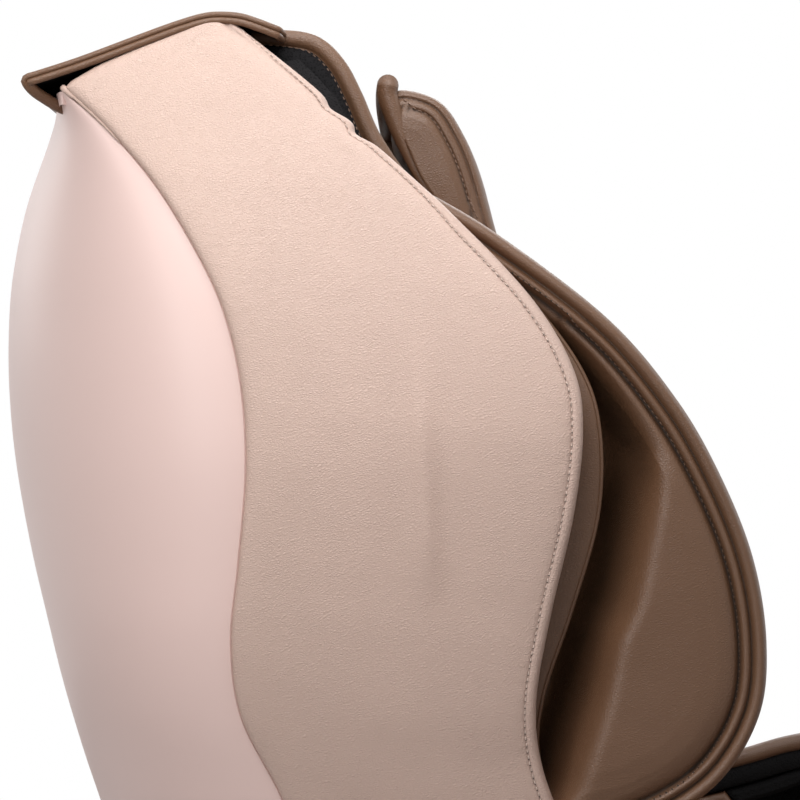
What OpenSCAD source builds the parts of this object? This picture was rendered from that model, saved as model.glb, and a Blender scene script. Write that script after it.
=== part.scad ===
// Full-body massage chair: a reclining back with shoulder wings on a steel base,
// two armrests with forearm channels, a lifting leg rest and a roller carriage.
// Millimetres. X runs across the chair, -Y is the front, Z is up, and Z 0 is the floor.

/* [Overall] */
// Width over both armrests
chair_w = 800; // [720:10:960]
// Clear width between the armrests
seat_gap = 540; // [500:10:600]
// Width across the shoulders of the back
shoulder_w = 706; // [640:2:760]
// Top edge of the back's flanks above the recline pivot
back_h = 802; // [700:2:960]

/* [Recline pivot] */
// Pivot behind the middle of the chair
pivot_y = 280; // [260:1:320]
// Pivot height above the floor
pivot_z = 430; // [410:1:470]
// Radius of the round lower end of the back
round_r = 120; // [110:1:124]
// Largest recline, in degrees
recline_max = 50; // [20:1:50]
// Radius of the pivot pins
pivot_r = 10; // [7:0.5:12]

/* [Back upholstery] */
// Half width of the back pad
pad_half_w = 244; // [240:1:244]
// Thickness of the side boards' outer pads
flank_t = 34; // [24:1:40]
// Thickness of the brown edge strip behind each flank
strip_t = 15; // [10:1:18]
// Thickness of the top flap
flap_t = 4; // [3:0.5:5]
// Clearance between upholstered pieces
soft_gap = 0.5; // [0.3:0.1:1]

/* [Roller mechanism] */
// Lean of the guide rails from upright, in degrees
rail_lean = 10; // [8:1:12]
// Travel of the roller carriage
carriage_travel = 400; // [200:10:400]
// Radius of a massage roller
roller_r = 26; // [20:0.5:27]
// Width of a massage roller
roller_w = 27; // [18:1:36]
// Radius of the lead screw
screw_r = 8; // [6:0.5:10]

/* [Leg rest] */
// Width of the leg rest
leg_w = 500; // [440:10:520]
// Height of the leg rest's hinge
leg_z = 385; // [380:1:400]
// Depth of the calf section
calf_d = 175; // [150:5:190]
// Largest lift of the leg rest, in degrees
lift_max = 80; // [30:1:80]
// Radius of a calf well
calf_r = 62; // [50:1:68]
// Width of a foot well
foot_well_w = 118; // [100:2:130]

/* [Steel base] */
// Height of the rubber feet
foot_h = 24; // [18:1:34]
// Width of the base tubes
tube_w = 30; // [24:1:36]
// Height of the base tubes
tube_h = 40; // [30:1:44]
// Thickness of the pivot posts
post_t = 14; // [10:1:16]

/* [Fits] */
// Radial clearance of a shaft in its bore
shaft_fit = 0.06; // [0.02:0.01:0.1]
// Clearance between a moving piece and what it passes
run_gap = 6; // [4:0.5:8]
// Travel of a push button
key_travel = 1.5; // [1:0.1:2]

/* [Hidden] */
$fn = 48;
SIDES = [-1, 1];

// Colours
champagne = "#dcbfb7";
beige = "#c9aa9b";
brown = "#5f4c42";
black = "#1a1718";
steel = "#8a8d90";
dark_steel = "#3b3d40";
plastic = "#26282b";
rubber = "#202020";
zinc = "#b9bcc0";

// ---- Shape helpers ----

// Point at t (0 to 1) on a smooth curve through the rows of a list
function through(rows, t) =
    let (last = len(rows) - 1,
        s = min(max(t, 0), 1) * last,
        i = min(floor(s), last - 1),
        f = s - i,
        a = rows[max(i - 1, 0)],
        b = rows[i],
        c = rows[i + 1],
        d = rows[min(i + 2, last)])
    b + 0.5 * f * (c - a + f * (2 * a - 5 * b + 4 * c - d + f * (3 * (b - c) + d - a)));

// The curve through the rows, at a number of even steps
function smooth(rows, steps) = [for (i = [0:steps]) through(rows, i / steps)];

function mix(a, b, f) = a + (b - a) * f;
function power(v, e) = sign(v) * pow(abs(v), e);
function unit(v) = v / norm(v);

// Ring round a pad that spans from p to q, with x the way out of it. out and in hold how far it
// reaches each way at p and at q, bend how soon it takes up q's sizes, and dip the share by which
// its outer face is lower in the middle.
function pad_ring(p, q, x, out, in, count, square, bend = 1, dip = 0) =
    [for (i = [0:count - 1])
        let (a = 360 * i / count,
            u = 0.5 - 0.5 * power(cos(a), square),
            v = power(sin(a), square),
            s = 1 - pow(1 - u, bend),
            reach = v > 0 ? mix(out[0], out[1], s) * (1 - dip * 4 * u * (1 - u)) : mix(in[0], in[1], s))
        [mix(p[0], q[0], s), mix(p[1], q[1], u), mix(p[2], q[2], u)] + x * reach * v];

// Solid skin through rings of equal count, which run anticlockwise seen from the last one.
// Each end is closed by a fan, or by one flat face where the ring is not round.
module skin(rings, flip = false, flat_ends = false) {
    n = len(rings[0]);
    m = len(rings);
    side = [for (j = [0:m - 2], i = [0:n - 1])
        let (a = j * n + i, b = j * n + (i + 1) % n)
        each [[a, b + n, b], [a, a + n, b + n]]];
    mid = [for (ring = [rings[0], rings[m - 1]]) mean(ring)];
    fans = [for (i = [0:n - 1])
        each [[m * n, i, (i + 1) % n], [m * n + 1, (m - 1) * n + (i + 1) % n, (m - 1) * n + i]]];
    flats = [[for (i = [0:n - 1]) i], [for (i = [n - 1:-1:0]) (m - 1) * n + i]];
    all = concat(side, flat_ends ? flats : fans);
    polyhedron(concat([for (ring = rings) each ring], flat_ends ? [] : mid),
        [for (f = all) flip ? [for (i = [len(f) - 1:-1:0]) f[i]] : f], convexity = 6);
}

function sum(v, i = 0) = i < len(v) - 1 ? v[i] + sum(v, i + 1) : v[i];
function mean(v) = sum(v) / len(v);

// Plate cut to an outline drawn with Y to the right and Z up, from x to x + t
module plate(x, t) {
    translate([x, 0, 0]) rotate([90, 0, 90]) linear_extrude(t, convexity = 6) children();
}

// Round bar along X from x0 to x1
module bar_x(y, z, r, x0, x1) {
    translate([x0, y, z]) rotate([0, 90, 0]) cylinder(h = x1 - x0, r = r);
}

// Round bar along Y from y0 to y1
module bar_y(x, z, r, y0, y1) {
    translate([x, y0, z]) rotate([-90, 0, 0]) cylinder(h = y1 - y0, r = r);
}

// Box between two corners
module block(low, high) {
    translate(low) cube(high - low);
}

// The same piece on one side or the other: side is 1 for +X and -1 for -X
module on_side(side) {
    mirror([side < 0 ? 1 : 0, 0, 0]) children();
}

// ---- Back outlines, measured from the recline pivot ----

// Flank rungs from the pivot up: front edge y, z, half width, then rear edge y, z, half width
FLANK_ROWS = [
    [-120, 0, 303, 120, 0, 303],
    [-112, 80, 304, 109, 80, 304],
    [-94, 180, 306, 102, 170, 306],
    [-65, 262, 311, 110, 260, 311],
    [-43, 320, 322, 128, 306, 321],
    [-38, 365, 334, 152, 356, 332],
    [-47, 422, 343, 158, 405, 341],
    [-61, 485, 350, 153, 455, 347],
    [-67, 540, 353, 148, 515, 352],
    [-61, 580, 350, 151, 568, 351],
    [-34, 627, 343, 162, 615, 346],
    [16, 681, 331, 180, 654, 338],
    [61, 723, 319, 208, 699, 326],
    [103, 760, 306, 240, 736, 315],
    [161, 802, 289, 264, 754, 308]];
// How far the edge strip stands in front of the flank at each rung
STRIP_STEP = [0, 0, 0, 0, 0, 6, 15, 18, 13, 7, 0, 0, 0, 0, 0];
// Rear middle of the shell at each rung: y, z
SHELL_REAR = [[172, 0], [205, 80], [241, 170], [271, 260], [286, 306], [300, 356], [312, 405], [324, 455],
    [335, 515], [340, 568], [340, 615], [336, 654], [326, 699], [313, 736], [304, 763]];
// Wing rungs from the top down: tip y, z, root z
WING_ROWS = [[34, 696, 692], [-13, 666, 653], [-84, 612, 606], [-130, 561, 566], [-160, 511, 520],
    [-179, 457, 470], [-188, 403, 420], [-184, 355, 370], [-159, 312, 322], [-117, 284, 292],
    [-76, 272, 276]];
// Front face of the back pad above the pivot: y, z, thickness
PAD_ROWS = [[-113, 80, 38], [-96, 175, 42], [-77, 270, 45], [-58, 370, 45], [-45, 470, 45], [-37, 557, 45],
    [-18, 630, 42], [8, 674, 38], [38, 706, 32], [61, 739, 24], [74, 767, 18], [87, 787, 15],
    [100, 799, 13], [124, 804, 11], [150, 803, 10]];
// Top flap from the rear edge to the front: y, z, half width
FLAP_ROWS = [[298, 763, 309], [280, 774, 308], [250, 787, 305], [209, 803, 299], [168, 815, 293],
    [150, 813, 291], [132, 810, 288]];
// Head pillow seen from its side: y, z from the rear top forwards and round
PILLOW_ROWS = [[66, 781], [59, 785], [49, 782], [36, 774], [20, 765], [7, 748], [-2, 726], [-10, 701],
    [-18, 674], [-32, 640], [-45, 608], [-44, 590], [-33, 586], [-25, 603], [-15, 635], [8, 672],
    [36, 706], [58, 735], [67, 757]];
pillow_front = 12;

// The rows above are drawn for this height and width, and stretch with the back
drawn_h = 802;
drawn_w = 706;
tall = back_h / drawn_h;
wide = shoulder_w / drawn_w;

// A point of the back, from its x and its y and z above the pivot
function back_at(x, y, z) = [x, pivot_y + y, pivot_z + z * tall];

function rung_front(t, x_in) =
    let (r = through(FLANK_ROWS, t)) back_at(r[2] * wide - x_in, r[0], r[1]);
function rung_rear(t, x_in) =
    let (r = through(FLANK_ROWS, t)) back_at(r[5] * wide - x_in, r[3], r[4]);
// Half width of the back at a height above the pivot
function half_w(z) = lookup(z, [for (r = smooth(FLANK_ROWS, steps)) [r[1], r[2]]]) * wide;

rungs = len(FLANK_ROWS) - 1;
steps = 2 * rungs;
flank_mid = 18;
flank_in = flank_t - flank_mid;
board_out = flank_t + soft_gap;
board_in_x = pad_half_w + soft_gap;
strip_in = board_out + soft_gap + strip_t;

// ---- Upholstery of the back ----

module flank(side) {
    x = FLANK_ROWS[0][2] * wide - flank_mid;
    low = [for (a = [-84, -60, -36, -16])
        [[x, pivot_y - round_r * cos(a), pivot_z + round_r * sin(a)],
            [x, pivot_y + round_r * cos(a), pivot_z + round_r * sin(a)]]];
    up = [for (i = [0:steps]) [rung_front(i / steps, flank_mid), rung_rear(i / steps, flank_mid)]];
    crown = 20;
    color(beige) on_side(side)
        skin([for (r = concat(low, up))
            pad_ring(r[0], r[1], [1, 0, 0], [crown, crown], [flank_in, flank_in], 16, 0.45)]);
}

// Board inside each flank, which carries the flank, the edge strip and the wing
board_front = 30;
board_back = 14;
board_top = [[46, 681], [74, 723], [92, 760], [118, 788]];

// Point behind a flank rung, at a share of the way from its front to its rear
function behind(row, s) =
    [mix(row[2], row[5], s) * wide - board_out, mix(row[0], row[3], s), mix(row[1], row[4], s)];
function board_rows() = smooth([for (i = [0:rungs])
    let (row = FLANK_ROWS[i],
        top = i - rungs + 3,
        front = behind(row, board_front / (row[3] - row[0])),
        rear = behind(row, 1 - board_back / (row[3] - row[0])))
    concat(top < 0 ? front : [row[2] * wide - board_out, each board_top[top]],
        rear - [0, 0, top < 0 ? 0 : 2])], steps);
// Front edge of the board at a height above the pivot
function board_y(z) = lookup(z, [for (r = board_rows()) [r[2], r[1]]]);

module side_board(side) {
    r = round_r - board_back;
    x = FLANK_ROWS[0][2] * wide - board_out;
    low = [for (a = [-68, -34]) [x, -r * cos(a), r * sin(a), x, r * cos(a), r * sin(a)]];
    color(black) on_side(side)
        skin([for (e = concat(low, board_rows()))
            let (front = back_at(e[0], e[1], e[2]), rear = back_at(e[3], e[4], e[5]))
            [[board_in_x, front[1], front[2]], front, rear, [board_in_x, rear[1], rear[2]]]]);
}

module edge_strip(side) {
    mid = board_out + soft_gap + strip_t / 2;
    first = 3;
    last = 10;
    half = [strip_t / 2, strip_t / 2];
    color(brown) on_side(side)
        skin([for (i = [0:2 * (last - first)])
            let (k = first + i / 2,
                f = rung_front(k / rungs, mid),
                step = lookup(k, [for (j = [0:rungs]) [j, STRIP_STEP[j]]]))
            pad_ring(f - [0, step, 0], f + [0, board_front - 1, 0], [1, 0, 0], half, half, 8, 0.6)]);
}

module wing(side) {
    spans = 22;
    tip_x = 296 * wide;
    tip_half = 20;
    color(brown) on_side(side)
        skin([for (i = [spans:-1:0])
            let (t = i / spans,
                w = through(WING_ROWS, t),
                fade = min(1, 6 * min(t, 1 - t)),
                root = [board_y(w[2]) - 1, w[2]],
                root_out = half_w(w[2]) - strip_in - 1.5,
                root_x = (root_out + board_in_x) / 2,
                root_half = (root_out - board_in_x) / 2,
                half = [mix(root_half, tip_half, fade), root_half])
            pad_ring(back_at(mix(root_x, tip_x, fade), w[0], w[1]), back_at(root_x, root[0], root[1]),
                [1, 0, 0], half, half, 16, 0.6, 4)]);
}

// Rows of the pad's front face: y, z above the pivot, and thickness. It wraps the pivot below.
pad_wrap_t = 28;
function pad_rows() = concat(
    [for (a = [235, 217, 199, 184]) [round_r * cos(a), round_r * sin(a), pad_wrap_t]],
    [for (r = PAD_ROWS) [r[0], r[1] * tall, r[2]]]);

module back_pad() {
    rows = pad_rows();
    spans = 34;
    w = pad_half_w;
    color(brown)
        skin([for (i = [0:spans])
            let (r = through(rows, i / spans),
                d = through(rows, min(1, (i + 0.2) / spans)) - through(rows, max(0, (i - 0.2) / spans)),
                n = unit([0, -d[1], d[0]]),
                c = [0, pivot_y + r[0], pivot_z + r[1]] - n * r[2] / 2,
                half = [r[2] / 2, r[2] / 2])
            pad_ring(c - [w, 0, 0], c + [w, 0, 0], n, half, half, 16, 0.4, 1, 0.25)]);
}

module head_pillow() {
    half_w = 186 * wide;
    last_front = 11;
    // Place across the chair as a share of the half width, then size of the ring
    stations = [[-1, 0.9], [-0.96, 1], [-0.6, 1], [-0.2, 1], [0.2, 1], [0.6, 1], [0.96, 1], [1, 0.9]];
    centre = mean(PILLOW_ROWS);
    color(brown)
        skin([for (s = stations)
            [for (i = [0:len(PILLOW_ROWS) - 1])
                let (p = mix(centre, PILLOW_ROWS[i], s[1]),
                    push = i < last_front ? pillow_front * (1 - s[0] * s[0]) * sin(180 * i / last_front) : 0)
                back_at(half_w * s[0], p[0] - push, p[1])]]);
}

// Height of the flap's crown over its edges
flap_crown = 10;
function crown_at(x, w) = flap_crown * (1 - pow(x / w, 2));

module top_flap() {
    color(brown)
        skin([for (i = [0:12])
            let (r = through(FLAP_ROWS, i / 12), w = r[2] * wide)
            concat(
                [for (k = [4:-1:-4]) back_at(w * k / 4, r[0], r[1]) + [0, 0, crown_at(k, 4)]],
                [for (k = [-4:4]) back_at(w * k / 4, r[0], r[1]) + [0, 0, crown_at(k, 4) - flap_t]])],
            false, true);
}

module top_lining() {
    inset = 24;
    front = FLANK_ROWS[rungs];
    // Underside: up the rear of the flanks, then along the shell's top
    function under(y) = lookup(y, [[front[0], front[1]], [front[3], front[4]], [304, 764]]);
    color(black)
        skin([for (y = [280:-10:170])
            let (r = lookup(y, [for (f = FLAP_ROWS) [f[0], f[1]]]),
                w = lookup(y, [for (f = FLAP_ROWS) [f[0], f[2]]]) * wide,
                side = w - inset,
                top = r * tall - flap_t - soft_gap - 0.3,
                low = min(under(y) * tall + 1, r * tall - flap_t - 1.5))
            concat(
                [for (k = [4:-1:-4])
                    [side * k / 4, pivot_y + y, pivot_z + top + crown_at(side * k / 4, w)]],
                [for (x = [-side, side]) [x, pivot_y + y, pivot_z + low]])]);
}

// ---- Back shell ----

shell_wall = 4;
shell_rim = 36;

// Ring of the shell, drawn in by a wall at the rear and by a rim at the sides
function shell_ring(t, wall, rim, rise, back_out) =
    let (r = through(FLANK_ROWS, t), m = through(SHELL_REAR, t), w = r[5] * wide - rim, arc = 14)
    concat(
        [for (i = [0:arc])
            let (b = 180 * i / arc, s = sin(b))
            back_at(w * cos(b), mix(r[3] + 1, m[0] - wall, s), mix(r[4], m[1], s)) + [0, 0, rise]],
        back_out > 0 ? [for (k = SIDES) back_at(k * w, r[3] - back_out, r[4]) + [0, 0, rise]] : []);

module back_shell() {
    top_wall = 8;
    color(champagne) difference() {
        skin([for (i = [0:steps]) shell_ring(i / steps, 0, 0, 0, 0)]);
        skin([for (i = [0:steps])
            shell_ring(i / steps, shell_wall, shell_rim,
                i == 0 ? shell_wall : i == steps ? -top_wall : 0, 40)]);
    }
}

// ---- Steel inside the back, drawn along the guide rails ----

rail_y = 20;
rail_z = 110;
rail_len = carriage_travel + 160;
plate_t = 5;
post_gap = 1.6;
plate_x = board_in_x - run_gap - soft_gap - post_t - post_gap - plate_t;
rail_w = 31;
rail_wall = 3;
rail_front = 8;
rail_depth = 44;
screw_y = 62;
post_x = plate_x + plate_t + post_gap;

// Moves what is drawn along the rails to its place in the back
module along_rails() {
    translate([0, pivot_y + rail_y, pivot_z + rail_z]) rotate([-rail_lean, 0, 0]) children();
}

// The pivot as seen along the rails
pivot_along = [-rail_y * cos(rail_lean) + rail_z * sin(rail_lean),
    -rail_y * sin(rail_lean) - rail_z * cos(rail_lean)];
hinge_tube_r = pivot_r + 8;
// Pull point of the recline lever, from the pivot
lever_y = 50;
lever_z = -100;
lever_x = -69;
lever_pin_r = 7;
rod_head_w = 14;
lever_t = 5;

module side_plate_outline() {
    back = 122;
    difference() {
        union() {
            polygon([pivot_along + [-28, 4], [-22, 60], [-14, rail_len], [6, rail_len + 24],
                [74, rail_len + 24], [back, 440], [back, 120], [60, -24], pivot_along + [28, 0]]);
            translate(pivot_along) circle(r = 30);
        }
        translate(pivot_along) circle(r = pivot_r + shaft_fit);
        for (z = [150:82:430]) translate([84, z]) circle(r = 24);
    }
}

module back_frame() {
    bar_depth = 24;
    color(dark_steel) {
        along_rails() {
            for (x = [-plate_x - plate_t, plate_x]) plate(x, plate_t) side_plate_outline();
            for (z = [-36, rail_len + 6])
                difference() {
                    block([-plate_x, screw_y - bar_depth / 2, z], [plate_x, screw_y + bar_depth / 2, z + 16]);
                    translate([0, screw_y, z - 1]) cylinder(h = 18, r = screw_r + shaft_fit);
                }
            for (z = [170, 400]) bar_x(110, z, 10, -plate_x, plate_x);
            // Studs that hold the side boards
            for (s = SIDES, z = [100, 300, 510])
                on_side(s) bar_x(20, z, 12, plate_x + plate_t, board_in_x - 0.3);
        }
        difference() {
            bar_x(pivot_y, pivot_z, hinge_tube_r, -plate_x, plate_x);
            for (s = SIDES) bar_x(pivot_y, pivot_z, pivot_r + shaft_fit, s > 0 ? plate_x - 34 : -plate_x - 1,
                s > 0 ? plate_x + 1 : -plate_x + 34);
        }
        for (x = [lever_x - rod_head_w / 2 - 1 - lever_t, lever_x + rod_head_w / 2 + 1])
            plate(x, lever_t) lever_outline(hinge_tube_r, lever_y, lever_z, pivot_y, pivot_z);
        bar_x(pivot_y + lever_y, pivot_z + lever_z, lever_pin_r, lever_x - rod_head_w / 2 - 1 - lever_t,
            lever_x + rod_head_w / 2 + 1 + lever_t);
    }
}

// Flat lever from a hinge tube to a pull pin, as an outline round the two
module lever_outline(tube_r, dy, dz, y, z) {
    n = unit([-dz, dy]) * 13;
    difference() {
        union() {
            polygon([[y, z] + n, [y, z] - n, [y + dy, z + dz] - n, [y + dy, z + dz] + n]);
            translate([y + dy, z + dz]) circle(r = 13);
        }
        translate([y, z]) circle(r = tube_r);
    }
}

module guide_rails() {
    color(steel) along_rails() for (s = SIDES) on_side(s)
        difference() {
            block([plate_x - 0.3 - rail_w, rail_front, 0],
                [plate_x - 0.3, rail_front + rail_depth, rail_len]);
            block([plate_x - 1.3 - rail_w, rail_front + rail_wall, -1],
                [plate_x - 0.3 - rail_wall, rail_front + rail_depth - rail_wall, rail_len + 1]);
        }
}

module lead_screw() {
    color(zinc) along_rails() translate([0, screw_y, -44]) cylinder(h = rail_len + 70, r = screw_r);
}

module screw_motor() {
    color(plastic) along_rails() difference() {
        union() {
            translate([0, screw_y, -112]) cylinder(h = 60, r = 28);
            translate([0, screw_y, -52]) cylinder(h = 15.7, r = 20);
        }
        translate([0, screw_y, -60]) cylinder(h = 30, r = screw_r + 1);
    }
}

// ---- Roller carriage ----

carriage_z = 80;
carriage_half_h = 68;
carriage_half_w = plate_x - rail_w - 14.4;
shaft_y = 2;
knead_x = 50;
knead_w = 18;
roller_y = -28;
roller_z = 62;
axle_r = 5;

module roller_carriage() {
    shoe_gap = 0.5;
    shoe_y = rail_front + rail_wall + shoe_gap;
    lug_t = 8;
    color(plastic) along_rails() translate([0, 0, carriage_z]) {
        difference() {
            union() {
                block([-carriage_half_w, 16, -carriage_half_h + 16],
                    [carriage_half_w, 58, carriage_half_h - 16]);
                block([-70, 40, -carriage_half_h], [70, 88, carriage_half_h]);
                for (s = SIDES) bar_y(s * 112, 0, 34, 58, 100);
            }
            translate([0, screw_y, -carriage_half_h - 1])
                cylinder(h = 2 * carriage_half_h + 2, r = screw_r + shaft_fit);
        }
        for (s = SIDES) on_side(s) for (z = [-40, 40]) {
            bar_x(rail_front + rail_depth / 2, z, 7, carriage_half_w, plate_x - 12);
            block([plate_x - 0.3 - rail_w + 2, shoe_y, z - 16],
                [plate_x - 0.3, rail_front + rail_depth, z + 16] - (rail_wall + shoe_gap) * [1, 1, 0]);
        }
        for (x = [knead_x - knead_w / 2 - 1 - lug_t, knead_x + knead_w / 2 + 1], s = SIDES)
            on_side(s) plate(x, lug_t) {
                translate([shaft_y, 0]) circle(r = 11);
                translate([shaft_y, -11]) square([16 - shaft_y, 22]);
            }
        bar_x(shaft_y, 0, screw_r, -knead_x - 20, knead_x + 20);
    }
}

module kneading_arm(side) {
    tip = [roller_y, roller_z];
    n = 9;
    color(steel) along_rails() translate([0, 0, carriage_z]) on_side(side) {
        plate(knead_x - knead_w / 2, knead_w) difference() {
            union() {
                translate([shaft_y, 0]) circle(r = 11);
                for (s = SIDES) {
                    polygon([[shaft_y + 8, 0], [tip[0] + n, s * tip[1]], [tip[0] - n, s * tip[1]],
                        [shaft_y - 20, 0]]);
                    translate([tip[0], s * tip[1]]) circle(r = n);
                }
            }
            translate([shaft_y, 0]) circle(r = screw_r + shaft_fit);
        }
        for (s = SIDES)
            bar_x(tip[0], s * tip[1], axle_r, knead_x + knead_w / 2, knead_x + knead_w / 2 + roller_w + 3);
    }
}

// Crowned roller with a bore, along X from x
module roller(x, y, z, r, w, bore) {
    crown = 3;
    translate([x, y, z]) rotate([0, 90, 0]) rotate_extrude()
        polygon(concat([[bore, 0]],
            [for (i = [0:8]) [r - crown - 4 + (crown + 4) * sin(22.5 + 16.875 * i), w * i / 8]],
            [[bore, w]]));
}

module massage_roller(side, up) {
    color(plastic) along_rails() translate([0, 0, carriage_z]) on_side(side)
        roller(knead_x + knead_w / 2 + 1, roller_y, up * roller_z, roller_r, roller_w, axle_r + shaft_fit);
}

// ---- Steel base ----

base_front = -232;
base_rear = 430;
skid_front = -390;
skid_rear = 410;
tray_t = 4;
tray_front = -160;
tray_rear = 215;
frame_z = foot_h + tube_h;
leg_y = -215;
leg_pin_r = 8;
seat_rail_z = 348;
seat_rail_t = 30;
mid_post_y = 100;
wheel_r = 28;
wheel_w = 20;
wheel_y = base_rear - 30;
wheel_z = wheel_r + 4;
wheel_pin_r = 6;
post_mid = post_x + post_t / 2;
tube_x = post_mid - tube_w / 2;
arm_in = seat_gap / 2;
arm_out = chair_w / 2;
arm_shell_t = 28;
skid_x = (arm_in + arm_out - arm_shell_t - tube_w) / 2;

module base_frame() {
    color(dark_steel) {
        for (s = SIDES) on_side(s) {
            block([tube_x, base_front, foot_h], [tube_x + tube_w, base_rear, frame_z]);
            // Pivot post with its boss and pin
            block([post_x, pivot_y - 20, frame_z], [post_x + post_t, pivot_y + 20, pivot_z]);
            bar_x(pivot_y, pivot_z, 24, post_x, post_x + post_t);
            bar_x(pivot_y, pivot_z, pivot_r, plate_x - 28, post_x);
            // Leg rest post with its boss and pin
            block([post_x, leg_y - 20, frame_z], [post_x + post_t, leg_y + 20, leg_z]);
            bar_x(leg_y, leg_z, 20, post_x, post_x + post_t);
            bar_x(leg_y, leg_z, leg_pin_r, post_x - 24, post_x);
            // Seat rail on its middle post
            block([post_x, mid_post_y, frame_z], [post_x + post_t, mid_post_y + 40, seat_rail_z]);
            block([tube_x, leg_y + 20, seat_rail_z],
                [tube_x + tube_w, mid_post_y + 40, seat_rail_z + seat_rail_t]);
            // Skid under the armrest, joined by three outriggers
            block([skid_x, skid_front, foot_h], [skid_x + tube_w, skid_rear, frame_z]);
            for (y = [base_front, mid_post_y, base_rear - 80])
                block([tube_x + tube_w, y, foot_h], [skid_x, y + 40, frame_z]);
            bar_x(wheel_y, wheel_z, wheel_pin_r, tube_x - wheel_w - 4, tube_x);
        }
        for (y = [base_front + 12, pivot_y + 20]) block([-tube_x, y, foot_h], [tube_x, y + 40, frame_z]);
        difference() {
            block([-tube_x, tray_front, frame_z - tray_t], [tube_x, tray_rear, frame_z]);
            for (x = [-120:60:120])
                block([x - 8, tray_rear - 60, frame_z - tray_t - 1], [x + 8, tray_rear - 20, frame_z + 1]);
        }
        // Stands of the two actuators
        block([lever_x - 12, 0, frame_z], [lever_x + 12, 40, pull_z - act_r]);
        block([-lever_x - 12, 20, frame_z], [-lever_x + 12, 60, lift_z - act_r]);
    }
}

module base_feet() {
    color(rubber) for (s = SIDES, y = [skid_front + 30, skid_rear - 30])
        translate([s * (skid_x + tube_w / 2), y, 0]) {
            cylinder(h = 6, r1 = 20, r2 = 22);
            translate([0, 0, 6]) cylinder(h = foot_h - 6, r = 22);
        }
}

module transport_wheel(side) {
    color(rubber) on_side(side)
        roller(tube_x - 2 - wheel_w, wheel_y, wheel_z, wheel_r, wheel_w, wheel_pin_r + shaft_fit);
}

// ---- Actuators ----

act_r = 22;
rod_r = 10;
// Arc of the recline lever's pin, and the rod travel that it needs
lever_r = norm([lever_y, lever_z]);
lever_a = atan2(lever_y, -lever_z);
pull_travel = lever_r * (sin(lever_a) - sin(lever_a - recline_max));
pull_high = lever_z;
pull_low = lever_a < recline_max ? -lever_r : -lever_r * cos(lever_a - recline_max);
pull_z = pivot_z + (max(pull_high, -lever_r * cos(lever_a - recline_max)) + pull_low) / 2;
// The same for the leg rest, whose lever swings from behind its hinge to in front
lift_r = 80;
lift_a = lift_max / 2;
lift_pin_r = 6;
lift_travel = 2 * lift_r * sin(lift_a);
lift_z = leg_z - lift_r * (1 + cos(lift_a)) / 2;
slot_play = 2.5;

// Rod with a slotted head: the pin rides up and down in the slot. The head is at y, the rod runs to y_end.
module slotted_rod(x, y, z, pin_r, rise, y_end) {
    half_y = pin_r + slot_play + 7;
    half_z = rise / 2 + pin_r + 9;
    low = min(y, y_end);
    color(zinc) {
        difference() {
            block([x - rod_head_w / 2, y - half_y, z - half_z], [x + rod_head_w / 2, y + half_y, z + half_z]);
            block([x - rod_head_w, y - pin_r - slot_play, z - rise / 2 - pin_r - 2],
                [x + rod_head_w, y + pin_r + slot_play, z + rise / 2 + pin_r + 2]);
        }
        if (y_end < y) bar_y(x, z, rod_r - 3, y_end, y - half_y);
        else bar_y(x, z, rod_r - 3, y + half_y, y_end);
    }
}

// Tube of an actuator from y0 to y1 with a blind bore from the open end, and its motor
module actuator_body(x, z, y0, y1, bore_y0, bore_y1, motor_y) {
    color(plastic) difference() {
        union() {
            bar_y(x, z, act_r, y0, y1);
            translate([x, motor_y, z + act_r - 6]) rotate([0, 90, 0])
                translate([0, 0, -28]) cylinder(h = 56, r = 18);
        }
        bar_y(x, z, rod_r - 3 + shaft_fit, bore_y0, bore_y1);
    }
}

module recline_rod() {
    slotted_rod(lever_x, pivot_y + lever_y, pull_z, lever_pin_r, pull_rise(), -24);
}

function pull_rise() = max(lever_z, -lever_r * cos(lever_a - recline_max)) - pull_low;
function lift_rise() = lift_r * (1 - cos(lift_a));

module legrest_rod() {
    slotted_rod(-lever_x, leg_y + lift_r * sin(lift_a), lift_z, lift_pin_r, lift_rise(), 80);
}

module recline_actuator() {
    actuator_body(lever_x, pull_z, -140, 90, -24 - pull_travel - 6, 91, -96);
}

module legrest_actuator() {
    actuator_body(-lever_x, lift_z, -82, 110, -83, 86, 70);
}

// ---- Seat and inner equipment ----

seat_pan_t = 14;
pan_z = seat_rail_z + seat_rail_t;
seat_half_w = arm_in - 5;
seat_rear = pivot_y - round_r - 13;

module seat_pan() {
    color(black) difference() {
        block([-seat_half_w + 4, leg_y + 32, pan_z], [seat_half_w - 4, seat_rear - 4, pan_z + seat_pan_t]);
        for (x = [-120:120:120], y = [-120, 40])
            translate([x, y, pan_z - 1]) cylinder(h = seat_pan_t + 2, r = 14);
    }
}

// Rows of the cushion from its front roll back: y, underside, top
function seat_rows() = let (z = pan_z + seat_pan_t + soft_gap)
    [[-214, z + 18, z + 30], [-204, z + 8, z + 44], [-180, z + 1, z + 52],
        [-110, z, z + 52], [-20, z, z + 48], [70, z, z + 44],
        [seat_rear - 22, z, z + 43], [seat_rear - 4, z + 3, z + 38], [seat_rear, z + 12, z + 28]];

module seat_cushion() {
    spans = 32;
    channel_every = 4;
    color(brown)
        skin([for (i = [0:spans])
            let (r = through(seat_rows(), i / spans),
                mid = (r[1] + r[2]) / 2,
                half = (r[2] - r[1]) / 2,
                sewn = i % channel_every == 0 && i > 2 && i < spans - 2 ? 4 : 0)
            pad_ring([-seat_half_w, r[0], mid], [seat_half_w, r[0], mid], [0, 0, 1],
                [half - sewn, half - sewn], [half, half], 16, 0.45)], true);
}

module control_box() {
    color(plastic) difference() {
        block([-40, 70, frame_z + 0.3], [40, 200, frame_z + 90]);
        for (y = [84:14:190]) block([-30, y, frame_z + 86], [30, y + 5, frame_z + 91]);
    }
}

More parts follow.
